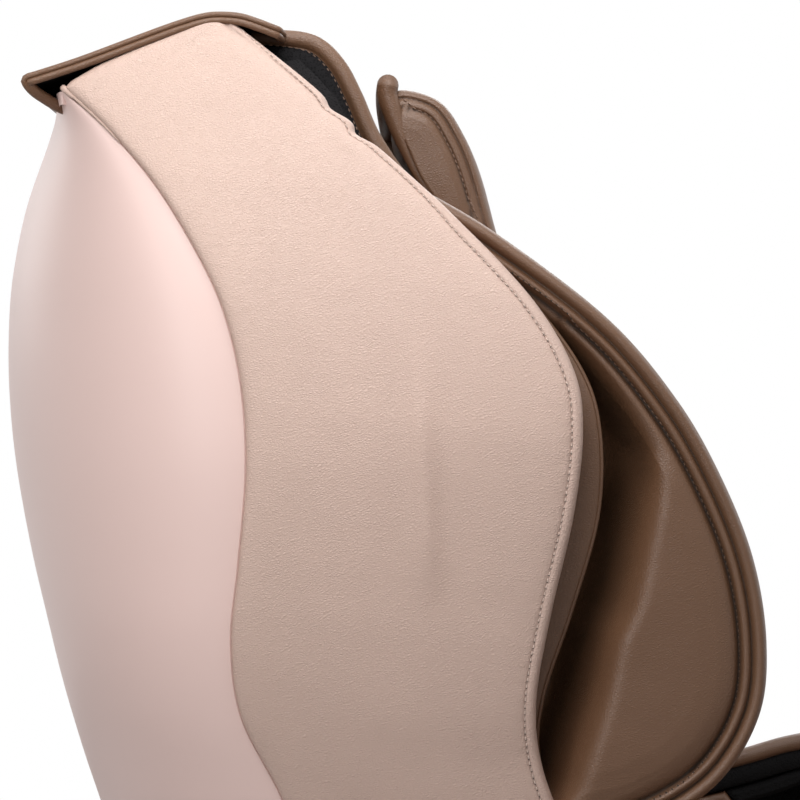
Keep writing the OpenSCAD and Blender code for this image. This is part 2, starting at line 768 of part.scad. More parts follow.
module air_pump() {
    color(steel) {
        block([110, -120, frame_z + 0.3], [200, 0, frame_z + 70]);
        for (y = [-90, -30]) translate([155, y, frame_z + 70]) cylinder(h = 34, r = 24);
        bar_y(155, frame_z + 84, 5, -130, 14);
    }
}

// ---- Rear cover with the mains inlet ----

cover_y = base_rear + 8;
cover_t = 4;
cover_top = 284;
inlet_x = 150;
inlet_z = 140;

module rear_cover() {
    half = arm_in - 8;
    color(plastic) difference() {
        union() {
            block([-half, cover_y, foot_h + 6], [half, cover_y + cover_t, cover_top]);
            // Lower foot that rests on the base tubes, and the top lip
            block([-half, cover_y - 7.7, foot_h + 6], [half, cover_y, frame_z - 6]);
            block([-half, cover_y - 20, cover_top - cover_t], [half, cover_y, cover_top]);
        }
        block([inlet_x - 30, cover_y - 1, inlet_z - 20], [inlet_x + 30, cover_y + cover_t + 1, inlet_z + 20]);
        for (x = [-160:20:20]) block([x, cover_y - 1, 100], [x + 8, cover_y + cover_t + 1, 180]);
    }
}

rocker_x = inlet_x - 16;

module power_inlet() {
    depth = 26;
    face_y = cover_y + cover_t;
    color(plastic) difference() {
        block([inlet_x - 29.7, cover_y - depth, inlet_z - 19.7],
            [inlet_x + 29.7, face_y + 1, inlet_z + 19.7]);
        // Socket recess, and the well of the switch
        block([inlet_x + 2, cover_y - depth + 6, inlet_z - 12], [inlet_x + 26, face_y + 2, inlet_z + 12]);
        block([rocker_x - 8, cover_y - depth + 6, inlet_z - 13], [rocker_x + 8, face_y + 2, inlet_z + 13]);
    }
    color(zinc) for (z = [-6, 0, 6])
        block([inlet_x + 13, cover_y - depth + 6, inlet_z + z - 1],
            [inlet_x + 15, cover_y - 4, inlet_z + z + 1]);
}

module rocker_switch() {
    y = cover_y + cover_t - 10;
    color("#7a1f1c") plate(rocker_x - 7.7, 15.4)
        polygon([[y - 8, inlet_z - 4], [y - 8, inlet_z + 4], [y + 4, inlet_z + 10], [y + 10, inlet_z + 10],
            [y + 7, inlet_z], [y + 10, inlet_z - 10], [y + 4, inlet_z - 10]]);
}

// ---- Armrests ----

// Outline of the armrest from the front foot up and back along the top: y, z
ARM_FRONT = [[-398, 28], [-424, 170], [-434, 330], [-429, 450], [-411, 545], [-372, 622], [-306, 680],
    [-215, 713], [-110, 721], [-10, 706], [35, 694], [100, 676], [138, 661], [158, 640]];
// Its rear end, below the round end of the back
ARM_REAR = [[385, 258], [430, 222], [452, 175], [456, 100], [444, 28]];
arm_bottom = 18;
arm_pad_t = 15;
// How much lower the top is at the outer edge, and how far the outer shell stands inside the outline
arm_drop = 14;
arm_shell_in = 10;
channel_z = 545;
cuff_wall = 12;
back_clear = run_gap + 8;

arm_last = len(ARM_FRONT) - 1;
function arm_line(i) = through(ARM_FRONT, i / arm_last);
// Point inside the outline by a distance square to it
function arm_inset(i, d) =
    let (a = arm_line(max(i - 0.1, 0)), b = arm_line(min(i + 0.1, arm_last)), n = unit(b - a))
    arm_line(i) + d * [n[1], -n[0]];
// The stretch that follows the back's front edge and its round lower end
function arm_hollow(gap) = concat(
    [for (k = [2:-1:0]) [pivot_y + FLANK_ROWS[k][0] - gap, pivot_z + FLANK_ROWS[k][1] * tall]],
    [for (a = [198:19.4:295]) [pivot_y + (round_r + gap) * cos(a), pivot_z + (round_r + gap) * sin(a)]]);
function arm_tops() = concat(
    [for (i = [0:0.5:arm_last]) arm_inset(i, arm_shell_in)],
    arm_hollow(back_clear),
    ARM_REAR);

module arm_shell(side) {
    tops = arm_tops();
    last = len(tops) - 1;
    half = arm_shell_t / 2;
    x = arm_out - half;
    color(champagne) on_side(side)
        skin([for (i = [0:last])
            let (y = mix(-372, 440, i / last))
            pad_ring([x, y, arm_bottom], [x, tops[i][0], tops[i][1]], [1, 0, 0], [half, half],
                [half, half], 12, 0.4)], true);
}

// Depth of the arm pad's underside below the outline, and the stretch of it over the forearm channel
under_arm = arm_pad_t + arm_drop + soft_gap;
channel_first = 5;
channel_last = 10.5;
// Where the channel's rear part begins to lean back, and by how much
channel_bend = -110;
channel_lean = 0.54;

module arm_core(side) {
    front_y = arm_inset(channel_first, under_arm)[0] - 0.3;
    rear = cuff_point(channel_last, under_arm, 0);
    color(brown) on_side(side) plate(arm_in, arm_out - arm_shell_t - arm_in - soft_gap)
        polygon(concat([[-372, frame_z + 0.3]],
            [for (i = [0.5:0.5:channel_first - 0.5]) arm_inset(i, under_arm)],
            [[front_y, arm_inset(channel_first, under_arm)[1] - 1], [front_y, channel_z]],
            [[rear[0] + 0.8, channel_z], cuff_point(channel_last, under_arm, 1) + [0.8, 0]],
            [for (i = [11:0.5:12.5]) arm_inset(i, under_arm)],
            [[146, 612]],
            arm_hollow(back_clear + 2),
            [[378, 250], [420, 214], [436, 170], [436, frame_z + 0.3]]));
}

// Point of the cuff at a share f of its height. Its rear end leans back towards the top.
function cuff_point(i, inset, f) =
    let (p = arm_inset(i, inset), lean = channel_lean * max(0, p[0] - channel_bend))
    [p[0] - lean * (1 - f), mix(channel_z + 0.3, p[1], f)];

// Ring of the cuff, drawn in by a wall at its floor and its roof
function cuff_ring(i, x0, x1, wall, dy) =
    let (f = wall / (arm_inset(i, under_arm)[1] - channel_z),
        low = cuff_point(i, under_arm, f),
        top = cuff_point(i, under_arm, 1 - f))
    [for (c = [[x0, low], [x1, low], [x1, top], [x0, top]]) [c[0], c[1][0] + dy, c[1][1]]];

module arm_cuff(side) {
    x0 = arm_in + 1;
    x1 = arm_out - arm_shell_t - soft_gap;
    places = [channel_first:0.5:channel_last];
    color(black) on_side(side) difference() {
        skin([for (i = places) cuff_ring(i, x0, x1, 0, 0)], true, true);
        skin([for (i = places)
            cuff_ring(i, x0 - 1, x1 - cuff_wall, cuff_wall,
                i == channel_first ? cuff_wall : i == channel_last ? 1 : 0)], true, true);
    }
}

module arm_pad(side) {
    x0 = arm_in - 2;
    x1 = arm_out - arm_shell_t - soft_gap;
    half = arm_pad_t / 2;
    color(brown) on_side(side)
        skin([for (i = [0.5:0.5:12.5])
            let (c = arm_inset(i, arm_drop + half), o = arm_inset(i, 0),
                n = unit([0, o[0] - c[0], o[1] - c[1]]))
            pad_ring([x0, c[0], c[1]], [x1, c[0], c[1]], n,
                [half + arm_drop, half], [half, half], 12, 0.5)], true);
}

// ---- Keypad on the inner face of the right armrest ----

key_r = 8;
key_y = -300;
key_z = 505;
key_pitch = 26;
key_x = arm_in;
keypad_t = 9;
function key_place(i) = key_y + key_pitch * (i - 1);

module side_keypad() {
    color(black) difference() {
        block([key_x - keypad_t, key_y - 20, key_z - 17], [key_x - 0.3, key_place(4) + 20, key_z + 17]);
        for (i = [1:4]) bar_x(key_place(i), key_z, key_r + 0.3, key_x - keypad_t - 1, key_x - 2);
    }
}

module button(i) {
    color(zinc) bar_x(key_place(i), key_z, key_r, key_x - keypad_t - 2, key_x - 2 - key_travel - 0.3);
}

// ---- Leg rest ----

leg_top = leg_z - 13;
calf_y = leg_y - 21;
calf_low = 122;
foot_low = foot_h + 6;
foot_front = -pivot_y - max([for (r = smooth(SHELL_REAR, steps)) r[0]]);
calf_front = calf_y - calf_d;
leg_half = leg_w / 2;
well_x = leg_w / 4 - 6;
leg_wall = 5;

module legrest_frame() {
    bore = leg_pin_r + shaft_fit;
    out = post_x - 2;
    leg_tube = 20;
    color(dark_steel) {
        difference() {
            bar_x(leg_y, leg_z, leg_pin_r + 6, -out, out);
            for (s = SIDES)
                bar_x(leg_y, leg_z, bore, s > 0 ? out - 26 : -out - 1, s > 0 ? out + 1 : -out + 26);
        }
        for (s = SIDES) on_side(s)
            block([150, calf_y + 0.3, foot_low + 20], [150 + leg_tube, calf_y + 12.3, leg_z]);
        for (z = [calf_low + 20, foot_low + 24]) block([-150, calf_y + 0.3, z], [150, calf_y + 12.3, z + 24]);
        for (x = [-lever_x - rod_head_w / 2 - 1 - lever_t, -lever_x + rod_head_w / 2 + 1])
            plate(x, lever_t)
                lever_outline(leg_pin_r + 5, lift_r * sin(lift_a), -lift_r * cos(lift_a), leg_y, leg_z);
        bar_x(leg_y + lift_r * sin(lift_a), leg_z - lift_r * cos(lift_a), lift_pin_r,
            -lever_x - rod_head_w / 2 - 1 - lever_t, -lever_x + rod_head_w / 2 + 1 + lever_t);
    }
}

// Outline of the calf section from above, drawn in by a wall
module calf_outline(inset) {
    r = 26;
    half = leg_half - inset;
    front = calf_front + inset;
    for (s = SIDES) translate([s * (half - r), front + r]) circle(r = r);
    translate([-half + r, front]) square([2 * half - 2 * r, r]);
    translate([-half, front + r]) square([2 * half, calf_y - inset - front - r]);
}

module calf_shell() {
    color(champagne) difference() {
        translate([0, 0, calf_low]) linear_extrude(leg_top - calf_low) calf_outline(0);
        translate([0, 0, calf_low - 1]) linear_extrude(leg_top - calf_low + 2) difference() {
            calf_outline(leg_wall);
        }
        // The front is open to the pads
        block([-leg_half + 22, calf_front - 1, calf_low - 1],
            [leg_half - 22, calf_front + leg_wall + 24, leg_top + 1]);
    }
}

module calf_pads() {
    inset = leg_wall + soft_gap;
    color(brown) difference() {
        union() {
            translate([0, 0, calf_low + 6]) linear_extrude(leg_top - calf_low - 12) calf_outline(inset);
            for (z = [calf_low, leg_top - 6]) translate([0, 0, z]) linear_extrude(6) calf_outline(inset + 4);
        }
        for (s = SIDES) translate([s * well_x, calf_front + calf_r - 14, calf_low - 1]) {
            cylinder(h = leg_top - calf_low + 2, r = calf_r);
            translate([-calf_r, -2 * calf_r, 0]) cube([2 * calf_r, 2 * calf_r, leg_top - calf_low + 2]);
        }
    }
}

// Side outline of the foot section: y, z
module foot_outline() {
    nose = smooth([[foot_front + 44, foot_low], [foot_front + 16, foot_low + 6], [foot_front, foot_low + 30],
        [foot_front + 1, foot_low + 62], [foot_front + 18, foot_low + 88], [foot_front + 52, foot_low + 99],
        [foot_front + 100, foot_low + 104], [calf_front - 24, calf_low + 16],
        [calf_front - 1, calf_low + 26]], 32);
    polygon(concat([[calf_y, foot_low]], nose, [[calf_front - 1, calf_low - 1], [calf_y, calf_low - 1]]));
}

// The foot section from above, with its two front corners rounded
module foot_plan() {
    r = 54;
    for (s = SIDES) translate([s * (leg_half - r), foot_front + r]) circle(r = r);
    translate([-leg_half + r, foot_front]) square([leg_w - 2 * r, r]);
    translate([-leg_half, foot_front + r]) square([leg_w, calf_y - foot_front - r]);
}

sole_t = 22;
well_front = foot_front + 34;
well_rear = calf_y - 42;

// Room for the two feet, opening upwards
module foot_wells(grow, low) {
    for (s = SIDES) translate([s * well_x, 0, low]) linear_extrude(300)
        difference() {
            union() {
                translate([-foot_well_w / 2 - grow, well_front + foot_well_w / 2 - grow])
                    square([foot_well_w + 2 * grow, well_rear - well_front - foot_well_w / 2 + 2 * grow]);
                translate([0, well_front + foot_well_w / 2 - grow]) circle(r = foot_well_w / 2 + grow);
            }
        }
}

roller_slot_y = -470;
sole_roller_r = 16;
sole_roller_w = 70;
sole_roller_z = foot_low + 6 + sole_roller_r + 1;
sole_pin_r = 4;

module foot_shell() {
    ear = 5;
    reach = sole_roller_w / 2 + 0.6;
    color(champagne) {
        difference() {
            intersection() {
                plate(-leg_half, leg_w) foot_outline();
                translate([0, 0, foot_low - 1]) linear_extrude(calf_low) foot_plan();
            }
            foot_wells(10.5, foot_low + 6);
        }
        // Ears and pin of each sole roller
        for (s = SIDES) {
            for (e = SIDES)
                block([s * well_x + (e > 0 ? reach : -reach - ear), roller_slot_y - 7, foot_low + 5],
                    [s * well_x + (e > 0 ? reach + ear : -reach), roller_slot_y + 7, sole_roller_z + 6]);
            bar_x(roller_slot_y, sole_roller_z, sole_pin_r, s * well_x - reach - 1, s * well_x + reach + 1);
        }
    }
}

module foot_pads() {
    top = calf_low - 2;
    color(brown) difference() {
        intersection() {
            foot_wells(10, foot_low + 6.3);
            plate(-leg_half + 1, leg_w - 2) foot_outline();
        }
        foot_wells(0, foot_low + 6.3 + sole_t);
        for (s = SIDES)
            block([s * well_x - sole_roller_w / 2 - 8, roller_slot_y - sole_roller_r - 3, foot_low + 6],
                [s * well_x + sole_roller_w / 2 + 8, roller_slot_y + sole_roller_r + 3, foot_low + 40]);
    }
}

module sole_roller(side) {
    r = sole_roller_r;
    w = sole_roller_w;
    color(plastic) translate([side * well_x - w / 2, roller_slot_y, sole_roller_z]) rotate([0, 90, 0])
        rotate_extrude() polygon(concat([[sole_pin_r + shaft_fit, 0]],
            [for (i = [0:24]) [r - 2 + 2 * cos(i * 60), w * i / 24]], [[sole_pin_r + shaft_fit, w]]));
}

// ---- The assembly ----

base_frame();
base_feet();
rear_cover();
seat_pan();
seat_cushion();
control_box();
air_pump();
power_inlet();
rocker_switch();
transport_wheel(-1);  // transport_wheel_left
transport_wheel(1);  // transport_wheel_right
arm_shell(-1);  // arm_shell_left
arm_shell(1);  // arm_shell_right
arm_core(-1);  // arm_core_left
arm_core(1);  // arm_core_right
arm_cuff(-1);  // arm_cuff_left
arm_cuff(1);  // arm_cuff_right
arm_pad(-1);  // arm_pad_left
arm_pad(1);  // arm_pad_right
side_keypad();
button(1);  // button_1
button(2);  // button_2
button(3);  // button_3
button(4);  // button_4
recline_actuator();
recline_rod();
legrest_actuator();
legrest_rod();
back_frame();
guide_rails();
lead_screw();
screw_motor();
roller_carriage();
kneading_arm(-1);  // kneading_arm_left
kneading_arm(1);  // kneading_arm_right
massage_roller(-1, 1);  // roller_left_upper
massage_roller(-1, -1);  // roller_left_lower
massage_roller(1, 1);  // roller_right_upper
massage_roller(1, -1);  // roller_right_lower
back_shell();
side_board(-1);  // side_board_left
side_board(1);  // side_board_right
flank(-1);  // flank_left
flank(1);  // flank_right
edge_strip(-1);  // edge_strip_left
edge_strip(1);  // edge_strip_right
wing(-1);  // wing_left
wing(1);  // wing_right
back_pad();
head_pillow();
top_flap();
top_lining();
legrest_frame();
calf_shell();
calf_pads();
foot_shell();
foot_pads();
sole_roller(-1);  // sole_roller_left
sole_roller(1);  // sole_roller_right
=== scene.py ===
"""Massage chair: upholstery, shells and running gear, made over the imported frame."""

import math

import bmesh
import bpy
import numpy as np
from bpy.props import FloatProperty, FloatVectorProperty, IntProperty, PointerProperty
from mathutils import Matrix, Vector


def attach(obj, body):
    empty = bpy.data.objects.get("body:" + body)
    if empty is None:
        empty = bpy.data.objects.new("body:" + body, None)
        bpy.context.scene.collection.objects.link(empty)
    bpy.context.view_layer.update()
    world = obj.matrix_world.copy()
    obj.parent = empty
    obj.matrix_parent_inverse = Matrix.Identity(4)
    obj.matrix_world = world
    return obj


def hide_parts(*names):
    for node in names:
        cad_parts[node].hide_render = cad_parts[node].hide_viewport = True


bl_info = {
    "name": "Massage chair",
    "version": (1, 0, 0),
    "blender": (4, 5, 0),
    "location": "View3D > Sidebar > Massage chair",
    "description": "Makes the upholstery, shells and running gear of a massage chair over its frame",
    "category": "Add Mesh",
}

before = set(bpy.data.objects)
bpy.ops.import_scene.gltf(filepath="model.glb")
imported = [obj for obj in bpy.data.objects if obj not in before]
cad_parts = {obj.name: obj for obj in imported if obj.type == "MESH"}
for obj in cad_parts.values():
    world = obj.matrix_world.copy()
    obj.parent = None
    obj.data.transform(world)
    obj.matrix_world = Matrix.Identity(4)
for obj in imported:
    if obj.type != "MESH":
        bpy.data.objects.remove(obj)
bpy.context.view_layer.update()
MM = 0.001
TINY = 1e-9
SIDES = {"left": -1, "right": 1}

# Outlines in millimetres, as (forward-backward, height) from the recline pivot
PIVOT_Y = 280
PIVOT_Z = 430
ROUND_R = 120
# Flank rungs: front edge y, z, half width, then rear edge y, z, half width
FLANK = np.array([
    [-120, 0, 303, 120, 0, 303], [-112, 80, 304, 109, 80, 304], [-94, 180, 306, 102, 170, 306],
    [-65, 262, 311, 110, 260, 311], [-43, 320, 322, 128, 306, 321], [-38, 365, 334, 152, 356, 332],
    [-47, 422, 343, 158, 405, 341], [-61, 485, 350, 153, 455, 347], [-67, 540, 353, 148, 515, 352],
    [-61, 580, 350, 151, 568, 351], [-34, 627, 343, 162, 615, 346], [16, 681, 331, 180, 654, 338],
    [61, 723, 319, 208, 699, 326], [102, 761.8, 306, 240, 736, 315], [161.5, 808, 289, 269, 761, 308]], float)
# How far the edge strip stands forward of the flank's front edge at each rung
STRIP_STEP = [0, 0, 0, 0, 0, 6, 15, 18, 13, 7, 0, 0, 0, 0, 0]
# Middle of the back shell's rear face: y and z
SHELL_REAR = np.array([
    [172, 0], [205, 80], [241, 170], [271, 260], [286, 306], [300, 356], [312, 405], [324, 455],
    [335, 515], [340, 568], [340, 615], [336, 654], [325, 699], [307, 736], [288, 760]], float)
# Shoulder wing from the top down: tip y, tip z and root z
WING = np.array([
    [36, 697.8, 692], [-14, 667.8, 654], [-85.5, 613, 608], [-130.3, 560.4, 566], [-159, 510.4, 520],
    [-180, 457, 470], [-188.7, 403, 420], [-184, 355, 370], [-158.5, 312, 322], [-117, 284, 292],
    [-76, 272, 276]], float)
# Line from which a wing's face dives towards its root: height above the floor, and y
POCKET = np.array([
    [1160, 300], [1090, 262], [1040, 222], [1010, 202], [970, 178], [946, 175], [905, 182], [860, 192],
    [833, 203], [793, 212], [747, 226], [700, 236]], float)
# Front face of the back pad: y, z and thickness
PAD = np.array([
    [-113, 80, 38], [-96, 175, 42], [-77, 270, 45], [-58, 370, 45], [-45, 470, 45], [-37, 557, 45],
    [-18, 630, 42], [10, 674, 38], [40, 706, 32], [62.5, 738, 24], [75.5, 767, 18], [86, 787, 15],
    [100, 802, 13], [117, 808.5, 12], [150, 810, 10]], float)
# Top flap from the end of its rear skirt, over its rear edge and to its front edge: y, z and half width
FLAP = np.array([
    [259, 741, 272], [270.5, 747.5, 279], [277.5, 750.5, 287], [284.5, 754.5, 296], [291.2, 759, 305],
    [295.2, 764, 309], [296.2, 768.5, 310], [293, 771.6, 310], [286, 773.8, 309.5], [258, 783.5, 306],
    [219, 799, 300.5], [197, 807.5, 297], [180, 813, 294], [168, 814.5, 292], [154, 813.5, 291],
    [141, 809.5, 290], [128.5, 805, 287]], float)
# Head pillow seen from its side: its front from the top down, its back, and the fat welt on its rear edge
PILLOW_FRONT = np.array([
    [57, 774], [49, 776.5], [36, 774.5], [24, 769.5], [15, 761], [6, 746], [-1, 731], [-8, 710],
    [-17.5, 676], [-32, 640], [-46, 608], [-49, 596], [-43, 586]], float)
PILLOW_BACK = np.array([
    [57, 774], [56, 764], [50, 747], [43, 731], [33, 710], [8, 674], [-12, 640], [-24, 606], [-31, 590],
    [-43, 586]], float)
PILLOW_WELT = np.array([
    [58.5, 778.5, 7.6], [58.7, 771, 7.2], [55, 759, 6.9], [50, 745, 6.0], [43.5, 729, 4.4],
    [37, 716, 3.8], [22, 692, 3.6], [2, 662, 3.5], [-16, 630, 3.4], [-30, 600, 3.4]], float)
# Armrest from its front foot up and back along the top, then its rear end: y and z above the floor
ARM_FRONT = np.array([
    [-398, 28], [-424, 170], [-434, 330], [-429, 450], [-411, 545], [-372, 622], [-306, 680], [-215, 713],
    [-110, 721], [-10, 706], [35, 694], [100, 676], [138, 661], [158, 640]], float)
ARM_REAR = np.array([[385, 258], [430, 222], [452, 175], [456, 100], [444, 28]], float)


# ---- Sizes and colours that a user may change ----

def tone(name, value, words):
    return FloatVectorProperty(name=name, description=words, default=value, subtype="COLOR", min=0, max=1)


class ChairColours(bpy.types.PropertyGroup):
    """Colours of the chair's finishes."""
    shell: tone("Shell", (0.75, 0.556, 0.51), "Satin plastic of the back shell and the armrests")
    flank: tone("Flank", (0.565, 0.402, 0.335), "Light leather of the flanks")
    hide: tone("Hide", (0.143, 0.071, 0.037), "Dark leather of the seat, the pads and the wings")
    mesh: tone("Mesh", (0.0055, 0.005, 0.0055), "Knitted lining")
    thread_light: tone("Light thread", (0.74, 0.58, 0.50), "Thread in the flanks' hems")
    thread_dark: tone("Dark thread", (0.24, 0.145, 0.10), "Thread in the dark leather")


class ChairSizes(bpy.types.PropertyGroup):
    """Sizes of the sewing and the grain."""
    stitch_pitch: FloatProperty(name="Stitch pitch", description="From one stitch to the next",
                                default=0.0044, min=0.002, max=0.01, unit="LENGTH")
    stitch_length: FloatProperty(name="Stitch length", description="Visible length of a stitch",
                                 default=0.0033, min=0.001, max=0.009, unit="LENGTH")
    thread_radius: FloatProperty(name="Thread radius", description="Half the thread's thickness",
                                 default=0.00055, min=0.0002, max=0.001, unit="LENGTH")
    grain: FloatProperty(name="Grain", description="Width of a leather pebble",
                         default=0.0016, min=0.0005, max=0.005, unit="LENGTH")
    stitch_sides: IntProperty(name="Stitch sides", description="Sides of a stitch", default=6, min=4, max=12)


def sizes():
    return bpy.context.scene.chair_sizes


def colours():
    return bpy.context.scene.chair_colours


# ---- Curves and grids of points ----

# Segments of a line that are measured at once, and waves in a ripple
NEAR_BATCH = 40
RIPPLE_WAVES = 9
# Points closer than this, in millimetres, become one, and edges shorter than this, in metres, are dropped
WELD = 0.02
SPECK = 1e-6


def through(rows, t):
    """Points at t, 0 to 1, on a smooth curve through the rows."""
    rows = np.asarray(rows, float)
    t = np.clip(np.atleast_1d(np.asarray(t, float)), 0, 1)
    last = len(rows) - 1
    place = t * last
    i = np.minimum(place.astype(int), last - 1)
    f = (place - i)[:, None]
    a, b, c, d = rows[np.maximum(i - 1, 0)], rows[i], rows[i + 1], rows[np.minimum(i + 2, last)]
    return b + 0.5 * f * (c - a + f * (2 * a - 5 * b + 4 * c - d + f * (3 * (b - c) + d - a)))


def mix(a, b, f):
    return a + (b - a) * f


def look_up(table, value):
    """The table's second column where its first one is at a value."""
    return np.interp(value, *np.transpose(table))


def ease(low, high, value):
    """0 below low, 1 above high and smooth between."""
    f = np.clip((value - low) / (high - low), 0, 1)
    return f * f * (3 - 2 * f)


def along(path):
    """Distance along a path to each of its points."""
    steps = np.linalg.norm(np.diff(path, axis=0), axis=1)
    return np.concatenate([[0], np.cumsum(steps)])


def even(path, step, closed=False):
    """The path in even steps."""
    path = np.asarray(path, float)
    if closed:
        path = np.vstack([path, path[:1]])
    d = along(path)
    count = max(2, int(round(d[-1] / step)) + 1)
    places = np.linspace(0, d[-1], count)
    out = np.stack([np.interp(places, d, path[:, k]) for k in range(path.shape[1])], 1)
    return out[:-1] if closed else out


def unit(rows):
    """Each row at length 1."""
    return rows / np.maximum(np.linalg.norm(rows, axis=1, keepdims=True), TINY)


def heading(path, closed=False):
    """Direction of a path at each of its points."""
    return unit(np.roll(path, -1, 0) - np.roll(path, 1, 0) if closed else np.gradient(path, axis=0))


def leftwards(way):
    """Directions in a plane, a quarter turn to the left."""
    return np.stack([-way[:, 1], way[:, 0]], 1)


def ridge(value, middle, width):
    """1 at the middle, falling to 0 on both sides like a bell."""
    return np.exp(-((value - middle) / width) ** 2)


def power(value, exponent):
    """The power of a number's size, with its sign kept."""
    return np.sign(value) * np.abs(value) ** exponent


def circle(count):
    """Cosines and sines of even steps round a circle."""
    turn = np.linspace(0, 2 * math.pi, count, endpoint=False)
    return np.cos(turn), np.sin(turn)


def spots(x, y, z):
    """Points from coordinates that may be numbers or arrays."""
    return np.stack(np.broadcast_arrays(x, y, z), -1).astype(float)


def nearest(points, line):
    """Distance in the side plane from each point to a line of points."""
    out = np.full(len(points), np.inf)
    for start in range(0, len(line) - 1, NEAR_BATCH):
        part = line[start:start + NEAR_BATCH + 1]
        a, b = part[:-1], part[1:]
        ab = b - a
        ap = points[:, None, :] - a[None]
        f = np.clip((ap * ab).sum(2) / np.maximum((ab * ab).sum(1), TINY), 0, 1)
        gap = np.linalg.norm(ap - f[..., None] * ab, axis=2)
        out = np.minimum(out, gap.min(1))
    return out


def ripple(points, size, seed):
    """Soft unevenness between -1 and 1, with waves about as long as size."""
    rng = np.random.default_rng(seed)
    total = np.zeros(points.shape[:-1])
    for _ in range(RIPPLE_WAVES):
        way = rng.normal(size=3)
        way *= 2 * math.pi / (size * (0.7 + 0.8 * rng.random())) / np.linalg.norm(way)
        total += np.sin(points @ way + rng.random() * 6.283)
    return total * 2 / RIPPLE_WAVES


def rings(path, radius, sides, closed=False):
    """Rings of a round bar along a path. Radius is one number or one for each point."""
    path = np.asarray(path, float)
    radius = np.broadcast_to(np.asarray(radius, float), (len(path),))
    first = np.array([1.0, 0, 0])
    c, s = circle(sides)
    out = []
    for p, t, r in zip(path, heading(path, closed), radius):
        first = first - t * first.dot(t)
        first = first / max(np.linalg.norm(first), TINY)
        second = np.cross(t, first)
        out.append(p + r * (c[:, None] * first + s[:, None] * second))
    return np.array(out)


class Shape:
    """Grids of points, in millimetres, gathered into one mesh."""

    def __init__(self):
        self.points = []
        self.faces = []
        self.finish = []
        # How much painted shade each point gets in seams and grooves
        self.seam = []
        self.count = 0

    def grid(self, rows, wrap=False, loop=False, finish=0, seam=0):
        """Faces over a grid. Wrap joins each row's ends, and loop joins the last row to the first."""
        rows = np.asarray(rows, float)
        m, n = rows.shape[:2]
        start = self.count
        self.points.append(rows.reshape(-1, 3))
        self.seam.append(np.broadcast_to(seam, (m, n)).ravel())
        self.count += m * n
        a = np.arange(m if loop else m - 1)[:, None]
        b = np.arange(n if wrap else n - 1)[None]
        a2, b2 = (a + 1) % m, (b + 1) % n
        quads = np.stack([a * n + b, a * n + b2, a2 * n + b2, a2 * n + b], -1).reshape(-1, 4) + start
        self.faces += quads.tolist()
        self.finish += [finish] * len(quads)
        return self

    def cap(self, ring):
        """Closes a ring with a fan to its middle."""
        ring = np.asarray(ring, float)
        n = len(ring)
        start = self.count
        self.points.append(np.vstack([ring, ring.mean(0)]))
        self.seam.append(np.zeros(n + 1))
        self.count += n + 1
        self.faces += [[start + i, start + (i + 1) % n, start + n] for i in range(n)]
        self.finish += [0] * n
        return self

    def band(self, outer, inner, finish=0):
        """Faces between two lines of points."""
        return self.grid(np.stack([outer, inner], 1), finish=finish)

    def edges(self, outer, inner, finish=0):
        """Closes the four edges between two grids."""
        for k in (0, -1):
            self.band(outer[:, k], inner[:, k], finish)
            self.band(outer[k], inner[k], finish)
        return self

    def slab(self, outer, inner, finish=0):
        """Two grids with their four edges closed."""
        return self.grid(outer, finish=finish).grid(inner, finish=finish).edges(outer, inner, finish)

    def tube(self, hoops, closed=False, seam=0):
        """Rings joined in a row, which is capped at its ends or closed on itself."""
        self.grid(hoops, wrap=True, loop=closed, seam=seam)
        return self if closed else self.cap(hoops[0]).cap(hoops[-1])

    def bar(self, path, radius, sides, closed=False):
        """Round bar along a path."""
        return self.tube(rings(path, radius, sides, closed), closed)

    def mirrored(self, side):
        """The same shape on side 1 or -1, from one drawn on side 1."""
        if side > 0:
            return self
        self.points = [p * [-1, 1, 1] for p in self.points]
        return self

    def make(self, name, finishes, body, stands_for=(), fill=None, sharp=None, whole=True):
        """The mesh as a piece on its body. A mesh that isn't whole gets its open rims closed."""
        mesh = bpy.data.meshes.new(name)
        mesh.from_pydata((np.concatenate(self.points) * MM).tolist(), [], self.faces)
        for key in finishes:
            mesh.materials.append(finish(key))
        mesh.shade_smooth()
        mesh.polygons.foreach_set("material_index", self.finish)
        # The painted shade of seams and grooves goes to the leather finishes as a point attribute
        mesh.attributes.new("seam", "FLOAT", "POINT").data.foreach_set("value", np.concatenate(self.seam))
        bm = bmesh.new()
        bm.from_mesh(mesh)
        bmesh.ops.remove_doubles(bm, verts=bm.verts, dist=WELD * MM)
        bmesh.ops.dissolve_degenerate(bm, edges=bm.edges, dist=SPECK)
        bmesh.ops.recalc_face_normals(bm, faces=bm.faces)
        if not whole:
            rims = bmesh.ops.holes_fill(bm, edges=[e for e in bm.edges if e.is_boundary], sides=0)
            bmesh.ops.triangulate(bm, faces=rims["faces"])
            bmesh.ops.recalc_face_normals(bm, faces=bm.faces)
        bm.to_mesh(mesh)
        bm.free()
        if sharp:
            mesh.set_sharp_from_angle(angle=math.radians(sharp))
        seat(name, mesh, body, stands_for)


def seat(name, mesh, body, stands_for=()):
    """A piece from a mesh, on its body."""
    piece = bpy.data.objects.new(name, mesh)
    bpy.context.scene.collection.objects.link(piece)
    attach(piece, body)
    if stands_for:
        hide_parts(*stands_for)


# ---- Finishes ----

